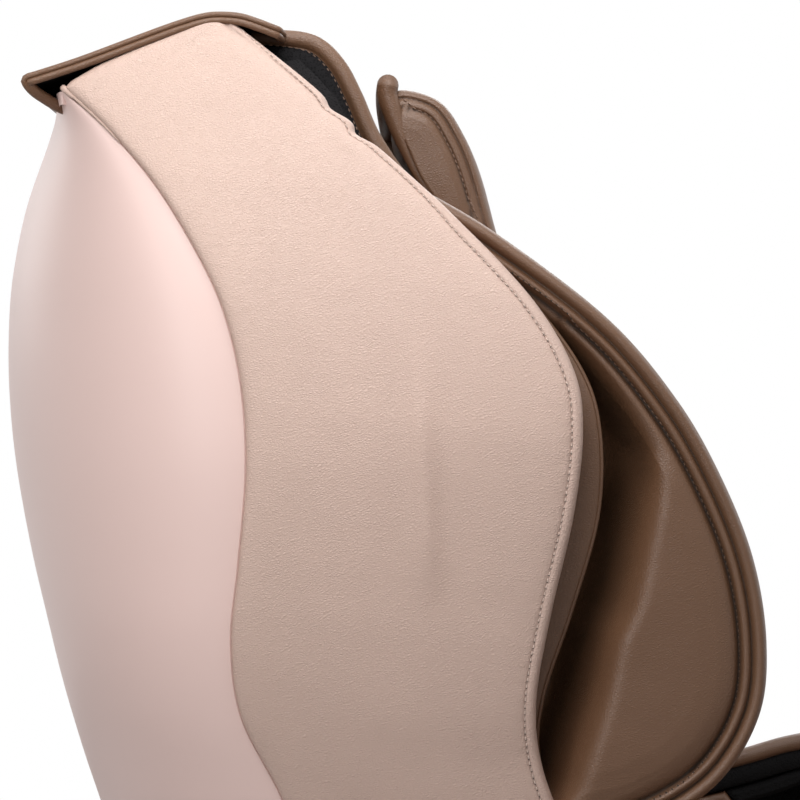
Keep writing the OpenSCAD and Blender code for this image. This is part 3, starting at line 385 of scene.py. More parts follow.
class Wire:
    """A socket that takes part in sums."""

    def __init__(self, nodes, socket):
        self.nodes = nodes
        self.socket = socket

    def _sum(self, operation, *terms, clamp=False):
        settings = {"operation": operation, "use_clamp": clamp}
        return self.nodes.node("ShaderNodeMath", settings, dict(enumerate(terms)))

    def __add__(self, other):
        return self._sum("ADD", self, other)

    __radd__ = __add__

    def __sub__(self, other):
        return self._sum("SUBTRACT", self, other)

    def __rsub__(self, other):
        return self._sum("SUBTRACT", other, self)

    def __mul__(self, other):
        return self._sum("MULTIPLY", self, other)

    __rmul__ = __mul__

    def above(self, edge, width):
        """0 below the edge and 1 past edge + width."""
        return self._sum("MULTIPLY", self - edge, 1 / width, clamp=True)


class Nodes:
    """A node tree and the one way to add to it."""

    def __init__(self, tree):
        self.tree = tree
        tree.nodes.clear()

    def node(self, kind, settings=None, sockets=None, out=0):
        """Adds a node with its settings, then its sockets' values or links. Gives one output."""
        made = self.tree.nodes.new(kind)
        for key, value in (settings or {}).items():
            setattr(made, key, value)
        for key, value in (sockets or {}).items():
            socket = made.inputs[key]
            if isinstance(value, Wire):
                self.tree.links.new(value.socket, socket)
            else:
                socket.default_value = (*value, 1) if socket.type == "RGBA" else value
        return Wire(self, made.outputs[out]) if made.outputs else made


class Finish(Nodes):
    """One material and the nodes that make it."""

    def __init__(self, name):
        self.material = bpy.data.materials.new(name)
        self.material.use_nodes = True
        super().__init__(self.material.node_tree)

    def place(self, scale=(1, 1, 1), turn=(0, 0, 0), kind="POINT"):
        """Object coordinates, stretched and turned."""
        spot = self.node("ShaderNodeTexCoord", out="Object")
        return self.node("ShaderNodeMapping", {"vector_type": kind},
                         {"Vector": spot, "Scale": scale, "Rotation": turn})

    def noise(self, where, scale, detail=2.0, roughness=0.5, out=0):
        return self.node("ShaderNodeTexNoise", {}, {"Vector": where, "Scale": scale, "Detail": detail,
                                                    "Roughness": roughness}, out=out)

    def cells(self, where, scale, feature="F1"):
        return self.node("ShaderNodeTexVoronoi", {"feature": feature}, {"Vector": where, "Scale": scale})

    def blend(self, factor, a, b):
        """Mix of two colours."""
        return self.node("ShaderNodeMix", {"data_type": "RGBA"}, {0: factor, 6: a, 7: b}, out=2)

    def bump(self, height, depth, strength=1.0):
        """Normal from a height between 0 and 1 that stands for a depth in metres."""
        return self.node("ShaderNodeBump", {}, {"Height": height, "Distance": depth, "Strength": strength})

    def close(self, **sockets):
        """Ends the material in a Principled shader."""
        named = {key.replace("_", " "): value for key, value in sockets.items()}
        shader = self.node("ShaderNodeBsdfPrincipled", {}, named)
        self.node("ShaderNodeOutputMaterial", {}, {"Surface": shader})
        return self.material


made_finishes = {}


def finish(name):
    """The material of that name, made on first use."""
    if name not in made_finishes:
        made_finishes[name] = FINISHES[name](name)
    return made_finishes[name]


def scaled(colour, share):
    """A colour made darker or lighter."""
    return tuple(min(1, v * share) for v in colour)


def leather(name, colour, crease, roughness, relief, shine):
    """Pebbled leather: drawn-out wrinkles, finer pores, slow shifts of tone, and painted shade in its seams
    and grooves.
    """
    f = Finish(name)
    size = sizes().grain
    turned = f.place((1.0, 1.4, 0.9), (math.radians(-25), 0, 0), "TEXTURE")
    bend = f.noise(turned, 0.6 / size, 1, out="Color")
    bent = f.node("ShaderNodeVectorMath", {"operation": "MULTIPLY_ADD"},
                  {0: bend, 1: (0.8 * size,) * 3, 2: turned})
    ridges = f.cells(bent, 1.05 / size, "DISTANCE_TO_EDGE").above(0.0, 0.4)
    wrinkles = f.noise(bent, 1.3 / size, 2, 0.55)
    pores = f.noise(f.place(), 3.2 / size, 2)
    height = ridges * 0.5 + wrinkles * 0.6 + pores * 0.12
    slow = f.noise(f.place(), 5.0, 3, 0.55)
    tint = f.blend(slow.above(0.35, 0.3), scaled(colour, 0.95), scaled(colour, 1.04))
    tint = f.blend((1 - ridges) * 0.32, tint, crease)
    # Painted shade: the mesh's seam attribute darkens the colour in seams, grooves and creases
    seam = f.node("ShaderNodeAttribute", {"attribute_name": "seam"}, out="Fac")
    tint = f.blend(seam, tint, scaled(crease, 0.3))
    rough = roughness + (slow - 0.5) * 0.12 + (1 - ridges) * 0.08 + seam * 0.2
    return f.close(Base_Color=tint, Roughness=rough, Normal=f.bump(height, relief), Specular_IOR_Level=shine)


def shell_plastic(name):
    """Satin moulded plastic with a fine spark grain and faint scratches."""
    f = Finish(name)
    c = colours().shell
    grain = f.noise(f.place(), 2600.0, 2)
    slow = f.noise(f.place(), 3.0, 2)
    fine = f.noise(f.place((1, 0.02, 1), (math.radians(38), 0, 0)), 260.0, 2, 0.7)
    scratch = fine.above(0.70, 0.06) * f.noise(f.place(), 22.0, 2).above(0.58, 0.1)
    tint = f.blend(slow, scaled(c, 0.97), scaled(c, 1.02))
    tint = f.blend(scratch * 0.06, tint, (0.95, 0.9, 0.88))
    rough = 0.36 + grain * 0.06 + scratch * 0.04
    return f.close(Base_Color=tint, Roughness=rough, Normal=f.bump(grain, 0.00002, 0.6),
                   Specular_IOR_Level=0.3)


def knit_mesh(name, share=1.0):
    """Black knitted mesh with small round holes."""
    f = Finish(name)
    c = scaled(colours().mesh, share)
    where = f.place((1, 1, 1), (math.radians(45), 0, 0))
    holes = f.cells(where, 620.0)
    open_part = holes.above(0.25, 0.25)
    fuzz = f.noise(where, 900.0, 3)
    tint = f.blend(open_part, scaled(c, 0.35), scaled(c, 1.6))
    tint = f.blend(fuzz * 0.4, tint, scaled(c, 2.2))
    return f.close(Base_Color=tint, Roughness=0.9, Normal=f.bump(open_part, 0.0003),
                   Specular_IOR_Level=0.2)


def thread(name, colour):
    """Twisted thread."""
    f = Finish(name)
    twist = f.node("ShaderNodeTexWave", {"bands_direction": "DIAGONAL"},
                   {"Vector": f.place(), "Scale": 1400.0, "Distortion": 0.6})
    tint = f.blend(twist, scaled(colour, 0.7), colour)
    return f.close(Base_Color=tint, Roughness=0.7, Normal=f.bump(twist, 0.00008))


def metal(name, colour, roughness, streak=(1, 1, 40)):
    """Bare metal with faint streaks along one way and dull patches."""
    f = Finish(name)
    lines = f.noise(f.place(streak), 45.0, 3)
    dull = f.noise(f.place(), 14.0, 3)
    tint = f.blend(dull.above(0.4, 0.4), scaled(colour, 0.86), colour)
    return f.close(Base_Color=tint, Metallic=1.0, Roughness=roughness + lines * 0.16,
                   Normal=f.bump(lines, 0.00002))


def painted(name, colour, roughness=0.5, size=1500.0, depth=0.00005):
    """Powder coat or moulded plastic with a fine orange peel."""
    f = Finish(name)
    peel = f.noise(f.place(), size, 2)
    dust = f.noise(f.place(), 9.0, 4, 0.6)
    tint = f.blend(dust.above(0.45, 0.35), colour, tuple(min(1, v * 1.25 + 0.004) for v in colour))
    return f.close(Base_Color=tint, Roughness=roughness + (dust - 0.5) * 0.2, Normal=f.bump(peel, depth))


# How each finish is made from its name
FINISHES = {
    "flank_leather": lambda n: leather(n, colours().flank, scaled(colours().flank, 0.82), 0.44, 0.0005, 0.6),
    "hide_leather": lambda n: leather(n, colours().hide, scaled(colours().hide, 0.7), 0.37, 0.00028, 0.45),
    "shell_plastic": shell_plastic,
    "knit_mesh": knit_mesh,
    # Darker copy of the knit mesh: painted shade for the armrest channel's lining and the pad's underside
    "lining_cloth": lambda n: knit_mesh(n, 0.4),
    "light_thread": lambda n: thread(n, colours().thread_light),
    "dark_thread": lambda n: thread(n, colours().thread_dark),
    # Near-black beads between stitches: painted shade of the needle holes
    "hole": lambda n: thread(n, (0.02, 0.012, 0.008)),
    "bright_steel": lambda n: metal(n, (0.62, 0.63, 0.65), 0.24),
    "cast_aluminium": lambda n: metal(n, (0.66, 0.67, 0.68), 0.42, (1, 1, 1)),
    "frame_paint": lambda n: painted(n, (0.030, 0.032, 0.035), 0.42),
    "black_plastic": lambda n: painted(n, (0.014, 0.014, 0.015), 0.45, 1900.0, 0.00004),
    "roller_nylon": lambda n: painted(n, (0.035, 0.030, 0.030), 0.30, 900.0, 0.00002),
    "key_satin": lambda n: painted(n, (0.50, 0.42, 0.38), 0.3, 2400.0, 0.00001),
    "switch_red": lambda n: painted(n, (0.30, 0.012, 0.010), 0.25, 1200.0, 0.00001),
    "foot_rubber": lambda n: painted(n, (0.012, 0.012, 0.012), 0.8, 700.0, 0.0001),
}
# Finish of each of the frame's pieces that shows as it is
NODE_FINISH = {
    "frame_paint": ["base_frame", "back_frame", "legrest_frame"],
    "bright_steel": ["guide_rails", "lead_screw", "recline_rod", "legrest_rod",
                     *(f"kneading_arm_{side}" for side in SIDES)],
    "cast_aluminium": ["air_pump"],
    "black_plastic": ["rear_cover", "seat_pan", "control_box", "power_inlet", "side_keypad",
                      "recline_actuator", "legrest_actuator", "screw_motor", "roller_carriage"],
    "roller_nylon": [*(f"roller_{side}_{end}" for side in SIDES for end in ("upper", "lower")),
                     *(f"sole_roller_{side}" for side in SIDES)],
    "key_satin": [f"button_{k}" for k in (1, 2, 3, 4)],
    "switch_red": ["rocker_switch"],
    "foot_rubber": ["base_feet", *(f"transport_wheel_{side}" for side in SIDES)],
    "shell_plastic": ["calf_shell", "foot_shell"],
    "knit_mesh": [f"side_board_{side}" for side in SIDES],
}


# ---- Sewing ----

def stitch_tree():
    """Node tree that lays stitches along the edges of a mesh."""
    tree = bpy.data.node_groups.new("Stitch row", "GeometryNodeTree")
    for name, kind in (("Lines", "Geometry"), ("Pitch", "Float"), ("Length", "Float"), ("Radius", "Float"),
                       ("Sides", "Int"), ("Thread", "Material")):
        tree.interface.new_socket(name, in_out="INPUT", socket_type=f"NodeSocket{kind}")
    tree.interface.new_socket("Rows", in_out="OUTPUT", socket_type="NodeSocketGeometry")
    nodes = Nodes(tree)
    given = tree.nodes.new("NodeGroupInput").outputs
    lines, pitch, length, radius, sides, colour = (Wire(nodes, socket) for socket in given[:6])
    rows = nodes.node("GeometryNodeMeshToCurve", {}, {"Mesh": lines})
    rows = nodes.node("GeometryNodeResampleCurve", {"mode": "LENGTH"}, {"Curve": rows, "Length": pitch})
    bead = nodes.node("GeometryNodeMeshUVSphere", {}, {"Segments": sides, "Rings": 5, "Radius": 1.0})
    size = nodes.node("ShaderNodeCombineXYZ", {}, {"X": radius, "Y": radius, "Z": length * 0.5})
    way = nodes.node("GeometryNodeInputTangent")
    turn = nodes.node("FunctionNodeAlignRotationToVector", {"axis": "Z"}, {"Vector": way})
    rows = nodes.node("GeometryNodeInstanceOnPoints", {},
                      {"Points": rows, "Instance": bead, "Rotation": turn, "Scale": size})
    rows = nodes.node("GeometryNodeRealizeInstances", {}, {"Geometry": rows})
    rows = nodes.node("GeometryNodeSetMaterial", {}, {"Geometry": rows, "Material": colour})
    nodes.node("NodeGroupOutput", {}, {"Rows": rows})
    return tree


def sew(name, paths, colour, body, thick=1.0, long=1.0):
    """Rows of stitches along paths, as one piece."""
    points, edges = [], []
    for path in paths:
        base = len(points)
        points += (np.asarray(path, float) * MM).tolist()
        edges += [(base + i, base + i + 1) for i in range(len(path) - 1)]
    lines = bpy.data.meshes.new(name + "_lines")
    lines.from_pydata(points, edges, [])
    holder = bpy.data.objects.new(name + "_lines", lines)
    bpy.context.scene.collection.objects.link(holder)
    tree = bpy.data.node_groups.get("Stitch row") or stitch_tree()
    rows = holder.modifiers.new("Stitches", "NODES")
    rows.node_group = tree
    chosen = sizes()
    values = {"Pitch": chosen.stitch_pitch, "Length": chosen.stitch_length * long,
              "Radius": chosen.thread_radius * thick, "Sides": chosen.stitch_sides, "Thread": finish(colour)}
    for item in tree.interface.items_tree:
        if item.name in values:
            rows[item.identifier] = values[item.name]
    shown = holder.evaluated_get(bpy.context.evaluated_depsgraph_get())
    mesh = bpy.data.meshes.new_from_object(shown)
    mesh.name = name
    bpy.data.objects.remove(holder)
    mesh.shade_smooth()
    seat(name, mesh, body)


# ---- Forms of the back ----

def back_points(x, y, z):
    """Points measured from the recline pivot."""
    return spots(x, PIVOT_Y + y, PIVOT_Z + z)


def sunk(x, rows, out, depth):
    """Points below an outline of the back by a depth square to it."""
    return back_points(x, rows[:, :1] - out[:, :1] * depth, rows[:, 1:2] - out[:, 1:] * depth)


def rungs(t):
    """Front and rear points of the flank's rungs at t, from -1 at the bottom to 1 at the top."""
    t = np.atleast_1d(t)
    up = through(FLANK, np.maximum(t, 0))
    turn = math.pi / 2 * np.clip(-t, 0, 1)
    low = t < 0
    front = up[:, :3].copy()
    rear = up[:, 3:].copy()
    for rows, way in ((front, -1), (rear, 1)):
        rows[low, 0] = way * ROUND_R * np.cos(turn[low])
        rows[low, 1] = -ROUND_R * np.sin(turn[low])
        rows[low, 2] = FLANK[0, 2]
    return tuple(back_points(rows[:, 2], rows[:, 0], rows[:, 1]) for rows in (front, rear))


# Least sine of the angle between a rung and an edge, and most of a rung that the fixed distances may take
LEAST_SLANT = 0.4
MOST_EDGES = 0.85


def columns(front, rear, near, far, middle, narrow=1.0):
    """Shares along each rung: fixed distances square to both edges, even between.

    Narrow shrinks the distances from the front edge, as one number or one for each rung.
    """
    chord = rear - front
    width = np.linalg.norm(chord, axis=1)
    shares = []
    for line in (front, rear):
        slant = np.clip(np.linalg.norm(np.cross(unit(chord), heading(line)), axis=1), LEAST_SLANT, 1)
        shares.append(1 / (np.maximum(width, SPECK) * slant))
    squeeze = np.minimum(1, MOST_EDGES / (near[-1] * shares[0] + far[-1] * shares[1]))
    a = np.outer(shares[0] * squeeze * narrow, near)
    b = 1 - np.outer(shares[1] * squeeze, far[::-1])
    f = np.linspace(0, 1, middle + 2)[1:-1][None]
    return np.hstack([a, a[:, -1:] + (b[:, :1] - a[:, -1:]) * f, b])


# How far the flank stands out at a distance from its front edge
HEM = [[0, 5], [0.25, 8.5], [0.8, 11.6], [1.7, 14], [3, 15.5], [4.6, 16.4], [6, 16.5], [7, 16.2],
       [7.45, 15.8], [7.7, 15.6], [7.95, 15.8], [8.5, 16.3], [9.8, 17.0], [12, 17.6], [17, 18.4],
       [26, 19.1], [45, 19.7], [80, 20]]
# How far the flank's top edge bows up over a straight line from its front corner to its rear one
CREST = [[0, 3.2], [0.042, 7.2], [0.11, 10.6], [0.19, 11.6], [0.34, 10], [0.57, 9.6], [0.8, 8.5],
         [0.96, 5.2], [1, 2]]
# How far the flank stands out at a distance from its rear edge, and from its top edge
ROLL = [[0, 13], [0.5, 15.5], [1.4, 17.3], [3, 18.5], [6, 19.3], [12, 19.8], [20, 20]]
FOLD = [[0, 12], [0.5, 15.2], [1.4, 17.4], [3, 18.9], [6, 19.8], [10, 20]]
# Distances from the front and the rear edge at which the flank's mesh has a column. One is the hem's seam
HEM_ROW = 7.7
FLANK_NEAR = [0, 0.25, 0.6, 1.1, 1.8, 2.8, 4, 5.4, 6.4, 7, 7.4, HEM_ROW, 8, 8.4, 9, 10, 11.5, 13.5, 16, 20]
FLANK_FAR = [0, 0.3, 0.8, 1.6, 2.6, 4, 6, 9, 13, 18]
# How far in from its half width the flank's faces start, and how deep its inner face lies
FLANK_MID = 18
FLANK_IN = 16
# Height of the lower notch in the hem, and how far above it the upper one is
HEM_NIP = 1163
NIP_STEP = 17
# Fold across the flank's top corner: y and z
TUCK = np.array([[448, 1239.5], [441, 1233.5], [432.5, 1227.5]])
# Shares of the rear edge's short welt, and its radius at each
WELT_END = [[0, 0.2, 0.8, 0.9, 1], [0.4, 0.9, 1.2, 2.4, 2.2]]


def flank_surface():
    """The flank's outer and inner face, how much painted shade each point gets in the hem's groove and the
    corner's fold, and the hem seam's column.
    """
    t = np.concatenate([-np.sin(np.linspace(math.pi / 2, 0, 26))[:-1], np.linspace(0, 1, 281)])
    front, rear = rungs(t)
    row = FLANK_NEAR.index(HEM_ROW)
    over_nip = front[:, 2] - HEM_NIP
    narrow = 1 - 0.42 * ease(-75, -25, over_nip)
    u = columns(front, rear, np.array(FLANK_NEAR), np.array(FLANK_FAR), 44, narrow)
    flat = front[:, None] + (rear - front)[:, None] * u[..., None]
    flat[..., 2] += look_up(CREST, u) * ease(0.9, 1, t)[:, None]
    spot = flat.reshape(-1, 3)
    plane = spot[:, 1:]
    hem, roll = nearest(plane, flat[:, 0, 1:]), nearest(plane, flat[:, -1, 1:])
    hem /= narrow[:, None].repeat(u.shape[1], 1).ravel()
    top = nearest(plane, flat[-1, :, 1:])
    nip = 5.8 * ridge(over_nip, 0, 5) + 4.9 * ridge(over_nip, NIP_STEP, 5.5)
    nip += (1.1 + 0.4 * ripple(front, 55, 2)) * ease(-160, -40, over_nip) * (1 - ease(62, 78, over_nip))
    flat[..., 1] += nip[:, None] * (1 - ease(0, 3.5, u / u[:, row:row + 1]))
    height = np.minimum(look_up(HEM, hem), look_up(ROLL, roll))
    height = np.minimum(height, look_up(FOLD, top))
    y, z = spot[:, 1], spot[:, 2]
    inside = ease(0, 16, np.minimum(hem, np.minimum(roll, top)))
    fold = ridge(y, 314 + (z - 926) * 0.05, 8) * ease(850, 905, z) * (1 - ease(960, 1040, z))
    slack = 0.5 * ripple(spot, 150, 3) + 0.16 * ripple(spot, 38, 4)
    crease = ridge(nearest(plane, TUCK), 0, 0.8)
    height = height + inside * (3.6 * fold + slack) - 1.3 * crease
    run = along(front)[:, None].repeat(u.shape[1], 1).ravel()
    pucker = ridge(hem, 10, 4) * (np.sin(run * 0.55) + 0.6 * np.sin(run * 0.21 + 1))
    height = height + 0.13 * pucker * ease(2, 6, hem)
    outer, inner = spot.copy(), spot.copy()
    outer[:, 0] += height - FLANK_MID
    inner[:, 0] -= FLANK_MID + FLANK_IN * np.clip(np.minimum(np.minimum(hem, roll), top) / 4, 0, 1) ** 0.5
    # Painted shade: darker in the hem's groove and in the fold across the top corner
    seam = 0.15 * ridge(hem, HEM_ROW, 0.5) + 0.3 * crease
    shape = (*u.shape, 3)
    return outer.reshape(shape), inner.reshape(shape), seam.reshape(u.shape), row


def make_flank(name, side):
    """Padded flank with its short welt. Gives the line of its stitches."""
    outer, inner, seam, row = flank_surface()
    shape = Shape().grid(outer, seam=seam).grid(inner)
    for edge in (0, -1):
        shape.band(outer[:, edge], inner[:, edge])
    shape.band(outer[-1], inner[-1])
    # Short cord welt at the top of the rear edge
    welt = even(outer[-27:, -1] + [1.6, 0.7, 0.5], 2)
    shape.bar(welt, np.interp(np.linspace(0, 1, len(welt)), *WELT_END), 10)
    shape.mirrored(side).make(f"flank_cover_{name}", ["flank_leather"], "back", [f"flank_{name}"], 0.8)
    return even((outer[14:-6, row] + [0.65, 0, 0]) * [side, 1, 1], 1.1)


class CHAIR_OT_flanks(bpy.types.Operator):
    """Padded flanks with their hems"""
    bl_idname = "chair.flanks"
    bl_label = "Flanks"

    def execute(self, context):
        rows = [make_flank(name, side) for name, side in SIDES.items()]
        sew("flank_stitches", rows, "light_thread", "back")
        # Dark beads between the stitches: painted shade of the needle holes
        sew("flank_stitch_holes", [row[2:] for row in rows], "hole", "back", 1.0, 0.22)
        return {"FINISHED"}


# Edge strip: its middle, in from the flank's half width, and half its own width
STRIP_MID = 42.5
STRIP_HALF = 7.5
# How far behind the flank's front edge the side board starts
BOARD_FRONT = 30


def front_edge(z):
    """How far back the flank's front edge is at a height above the pivot."""
    rows = through(FLANK, np.linspace(0, 1, 300))
    return look_up(rows[:, [1, 0]], z)


def make_strip(name, side):
    """Narrow padded strip behind the flank's front edge, with a welt on its front."""
    k = np.linspace(3, 10, 180)
    step = through(np.array(STRIP_STEP, float)[:, None], k / 14)[:, 0]
    front, _ = rungs(k / 14)
    front[:, 0] -= STRIP_MID
    front[:, 1] -= step
    deep = step + BOARD_FRONT - 2
    c, s = circle(40)
    hoops = []
    for p, d in zip(front, deep):
        y = p[1] + 5 + np.where(c > 0, (d - 6) * np.abs(c) ** 0.5, -5 * np.abs(c) ** 0.8)
        hoops.append(spots(p[0] + STRIP_HALF * power(s, 0.55), y, p[2]))
    shape = Shape().tube(hoops).bar(even(front + [STRIP_HALF - 1.6, 1.0, 0], 3), 1.5, 8)
    shape.mirrored(side).make(f"edge_strip_{name}_cover", ["hide_leather"], "back",
                              [f"edge_strip_{name}"], 0.7)


class CHAIR_OT_strips(bpy.types.Operator):
    """Edge strips between the flanks and the wings"""
    bl_idname = "chair.strips"
    bl_label = "Edge strips"

    def execute(self, context):
        for name, side in SIDES.items():
            make_strip(name, side)
        return {"FINISHED"}


# Outer face of a wing from its tip inwards: distance and how far out it stands
WING_FACE = np.array([
    [0, -13], [0.25, -9.5], [0.9, -6], [2.2, -2.9], [3.8, -1.2], [5.4, -0.8], [7.0, -1.3], [8.6, -2.9],
    [9.8, -5.0], [10.5, -6.4], [11.1, -5.2], [12.0, -3.2], [13.2, -1.9], [14.4, -1.5], [15.6, -2.0],
    [16.8, -3.4], [17.6, -5.4], [18.2, -8.6], [19.2, -8.8], [20.2, -5.2], [22.5, -2.8], [26, -1.1],
    [33, 0.8], [45, 2.2], [60, 2.6]])
# How far out a wing's face and its root lie, and the distance of its sewn seam from the tip
WING_X = 316
WING_ROOT_X = 246
WING_SEAM = 18.2


def wing_surface():
    """A wing's outer and inner face, how much painted shade each point gets in the grooves of its seams, and
    the column of its sewn seam.
    """
    t = np.linspace(0, 1, 281)
    rows = through(WING, t)
    tip = back_points(WING_X, rows[:, 0], rows[:, 1])
    root_y = np.maximum(front_edge(rows[:, 2]) + BOARD_FRONT - 3, rows[:, 0] + 64)
    root = back_points(WING_X, root_y, rows[:, 2])
    near = WING_FACE[:-2, 0]
    u = columns(tip, root, near, np.array([0, 4, 8, 12]), 76)
    flat = tip[:, None] + (root - tip)[:, None] * u[..., None]
    spot = flat.reshape(-1, 3)
    edge = nearest(spot[:, 1:], tip[:, 1:])
    height = look_up(WING_FACE, edge)
    line = through(POCKET[::-1], np.linspace(0, 1, 200))
    pocket_y = look_up(line, spot[:, 2])
    dive = ease(-27, 20, spot[:, 1] - pocket_y) ** 1.5
    x = mix(WING_X + height, WING_ROOT_X, dive * ease(17, 46, edge))
    soft = ease(20, 40, edge)
    x += soft * (0.5 * ripple(spot, 90, 8) + 0.15 * ripple(spot, 30, 9))
    fade = np.minimum(1, 26 * t + 0.35) * np.minimum(1, 12 * (1 - t) + 0.15)
    x = mix(272, x, fade[:, None].repeat(u.shape[1], 1).ravel())
    outer, inner = spot.copy(), spot.copy()
    outer[:, 0] = x
    share = u.ravel()
    thick = np.interp(edge, [0, 1, 4, 10, 24, 60], [13, 20, 28, 34, 38, 42])
    back = np.maximum(WING_X - thick, WING_ROOT_X + 20 * (1 - share))
    inner[:, 0] = mix(back, WING_ROOT_X, ease(0.3, 0.75, share))
    inner[:, 0] = np.minimum(inner[:, 0], outer[:, 0] - np.interp(edge, [0, 3], [0, 6]))
    first = edge < 0.01
    inner[first, 0] = outer[first, 0]
    # Painted shade in the groove of the sewn seam and in the one between the roll and the welt
    seam = ridge(edge, WING_SEAM + 0.6, 1.3) + 0.9 * ridge(edge, 10.5, 0.6)
    shape = (*u.shape, 3)
    return outer.reshape(shape), inner.reshape(shape), seam.reshape(u.shape), list(near).index(WING_SEAM)


def make_wing(name, side):
    """Padded shoulder wing. Gives the line of its stitches."""
    outer, inner, seam, at = wing_surface()
    shape = Shape().grid(outer, seam=seam).grid(inner)
    shape.band(outer[:, -1], inner[:, -1])
    for end in (0, -1):
        shape.band(outer[end], inner[end])
    shape.mirrored(side).make(f"wing_cover_{name}", ["hide_leather"], "back", [f"wing_{name}"], 0.75)
    return even((outer[16:-14, at] + [0.3, 0, 0]) * [side, 1, 1], 1.1)


class CHAIR_OT_wings(bpy.types.Operator):
    """Shoulder wings with a roll, a welt and a stitched seam"""
    bl_idname = "chair.wings"
    bl_label = "Shoulder wings"

    def execute(self, context):
        rows = [make_wing(name, side) for name, side in SIDES.items()]
        sew("wing_stitches", rows, "dark_thread", "back", 0.7)
        # Dark beads between the stitches: painted shade of the needle holes
        sew("wing_stitch_holes", [row[2:] for row in rows], "hole", "back", 1.2, 0.35)
        return {"FINISHED"}


# Depth of the shell's outer and inner face at its rear, and how far in their sides lie
SHELL_WALLS = ((0, 5), (4, 9))


class CHAIR_OT_shell(bpy.types.Operator):
    """Back shell, one smooth moulding"""
    bl_idname = "chair.shell"
    bl_label = "Back shell"

    def execute(self, context):
        t = np.linspace(0, 1, 161)
        edge, rear = through(FLANK, t), through(SHELL_REAR, t)
        b = np.linspace(0, math.pi, 121)
        tuck = [[2.5, 3], [8, 6]]
        out = []
        for wall, rim in SHELL_WALLS:
            s = np.sin(b)[None]
            y = mix(edge[:, 3:4] + 1, rear[:, :1] - wall, s)
            z = mix(edge[:, 4:5], rear[:, 1:2], s)
            x = (edge[:, 5:6] - rim) * np.cos(b)[None]
            face = back_points(x, y, z)
            first = [face[:, 0] - [away, back, 0] for away, back in tuck]
            last = [face[:, -1] + [away, -back, 0] for away, back in tuck]
            out.append(np.stack([*first[::-1], *np.swapaxes(face, 0, 1), *last], 1))
        out[1][0, :, 2] += 4
        out[1][-1, :, 2] -= 8
        Shape().slab(*out).make("back_shell_moulding", ["shell_plastic"], "back", ["back_shell"], sharp=40)
        return {"FINISHED"}


# Cross seams of the pad, as distances along its face
PAD_SEAMS = (330, 470, 610)


class CHAIR_OT_back_pad(bpy.types.Operator):
    """Pad the sitter leans on, with a rolled border and mesh sides"""
    bl_idname = "chair.back_pad"
    bl_label = "Back pad"

    def execute(self, context):
        turn = np.radians([235, 217, 199, 184])
        wrap = np.stack([ROUND_R * np.cos(turn), ROUND_R * np.sin(turn), np.full(len(turn), 28)], 1)
        r = through(np.vstack([wrap, PAD]), np.linspace(0, 1, 261))
        out = leftwards(heading(r[:, :2]))
        thick = r[:, 2]
        # Section across the chair: how far out from the middle, and how far below the front face
        border = np.radians(np.linspace(-60, 112, 15))
        roll = np.stack([238 + 6 * np.cos(border), 6 - 6 * np.sin(border)], 1)
        side = np.array([[236, 60], [241.0, 15], [240.4, 12.8]])
        front = np.array([[231.5, 1.4], [229, 0.6], [222, 0.4], [200, 0.0], [160, -0.5], [124, 0.6],
                          [121.5, 2.4], [120, 3.4], [118.5, 2.4], [116, 1.0], [80, 1.5], [40, 2.4], [0, 2.8]])
        half = np.vstack([side, roll, front])
        section = np.vstack([half, half[-2::-1] * [-1, 1]])
        depth = np.minimum(section[None, :, 1], thick[:, None])
        grid = sunk(section[None, :, 0], r, out, depth)
        rows_sewn = sum(ridge(along(r[:, :2]), place, 3.2) for place in PAD_SEAMS)
        puff = 0.35 * ripple(grid, 120, 5) + 0.12 * ripple(grid, 40, 6) - 3.4 * rows_sewn[:, None]
        soft = ease(0, 20, 232 - np.abs(section[:, 0]))[None] * puff
        grid[..., 1:] += soft[..., None] * out[:, None]
        # Painted shade in the border's groove and along the sunken cross seams
        dark = 0.7 * ridge(np.abs(section[:, 0]), 120, 1.2)[None] + 0.6 * rows_sewn[:, None] ** 6
        n = len(side)
        shape = Shape().grid(grid[:, n - 1:1 - n], seam=dark[:, n - 1:1 - n])
        for cols in (grid[:, :n], grid[:, -n:], np.stack([grid[:, 0], grid[:, -1]], 1)):
            shape.grid(cols, finish=1)
        for end in (0, -1):
            shape.cap(grid[end])
        hang = np.linspace(12, 62, 6)
        for k in (-1, 1):
            shape.slab(*(sunk(k * x, r, out, hang) for x in (241.2, 240.0)), finish=1)
        shape.make("back_pad_cover", ["hide_leather", "knit_mesh"], "back", ["back_pad"], 0.7)
        seams = [even(grid[:, k] + [0.5 * np.sign(grid[0, k, 0]), 0, 0], 1.2)
                 for k in (n - 1, len(section) - n)]
        sew("back_pad_stitches", seams, "dark_thread", "back")
        return {"FINISHED"}


# Outer end of the pillow: distance from its front contour, and how far out it stands
PILLOW_END = [[0, 168], [0.6, 172.5], [1.6, 175.2], [3, 177.2], [4.6, 178.2], [5.8, 177.8], [6.5, 176.6],
              [7.2, 177.9], [8.4, 179.6], [10, 180.8], [11.6, 181.2], [12.8, 180.6], [13.5, 179.4],
              [14.2, 180.8], [16, 182.6], [20, 184.4], [27, 185.4], [40, 185.6]]
# Grooves of the pillow's end, as distances from the contour
PILLOW_PIPE = 6.5
PILLOW_SEAM = 13.5
# Half the pillow's length, and the distance of its cross seams from the middle
PILLOW_HALF = 180
PILLOW_CROSS_SEAM = 66


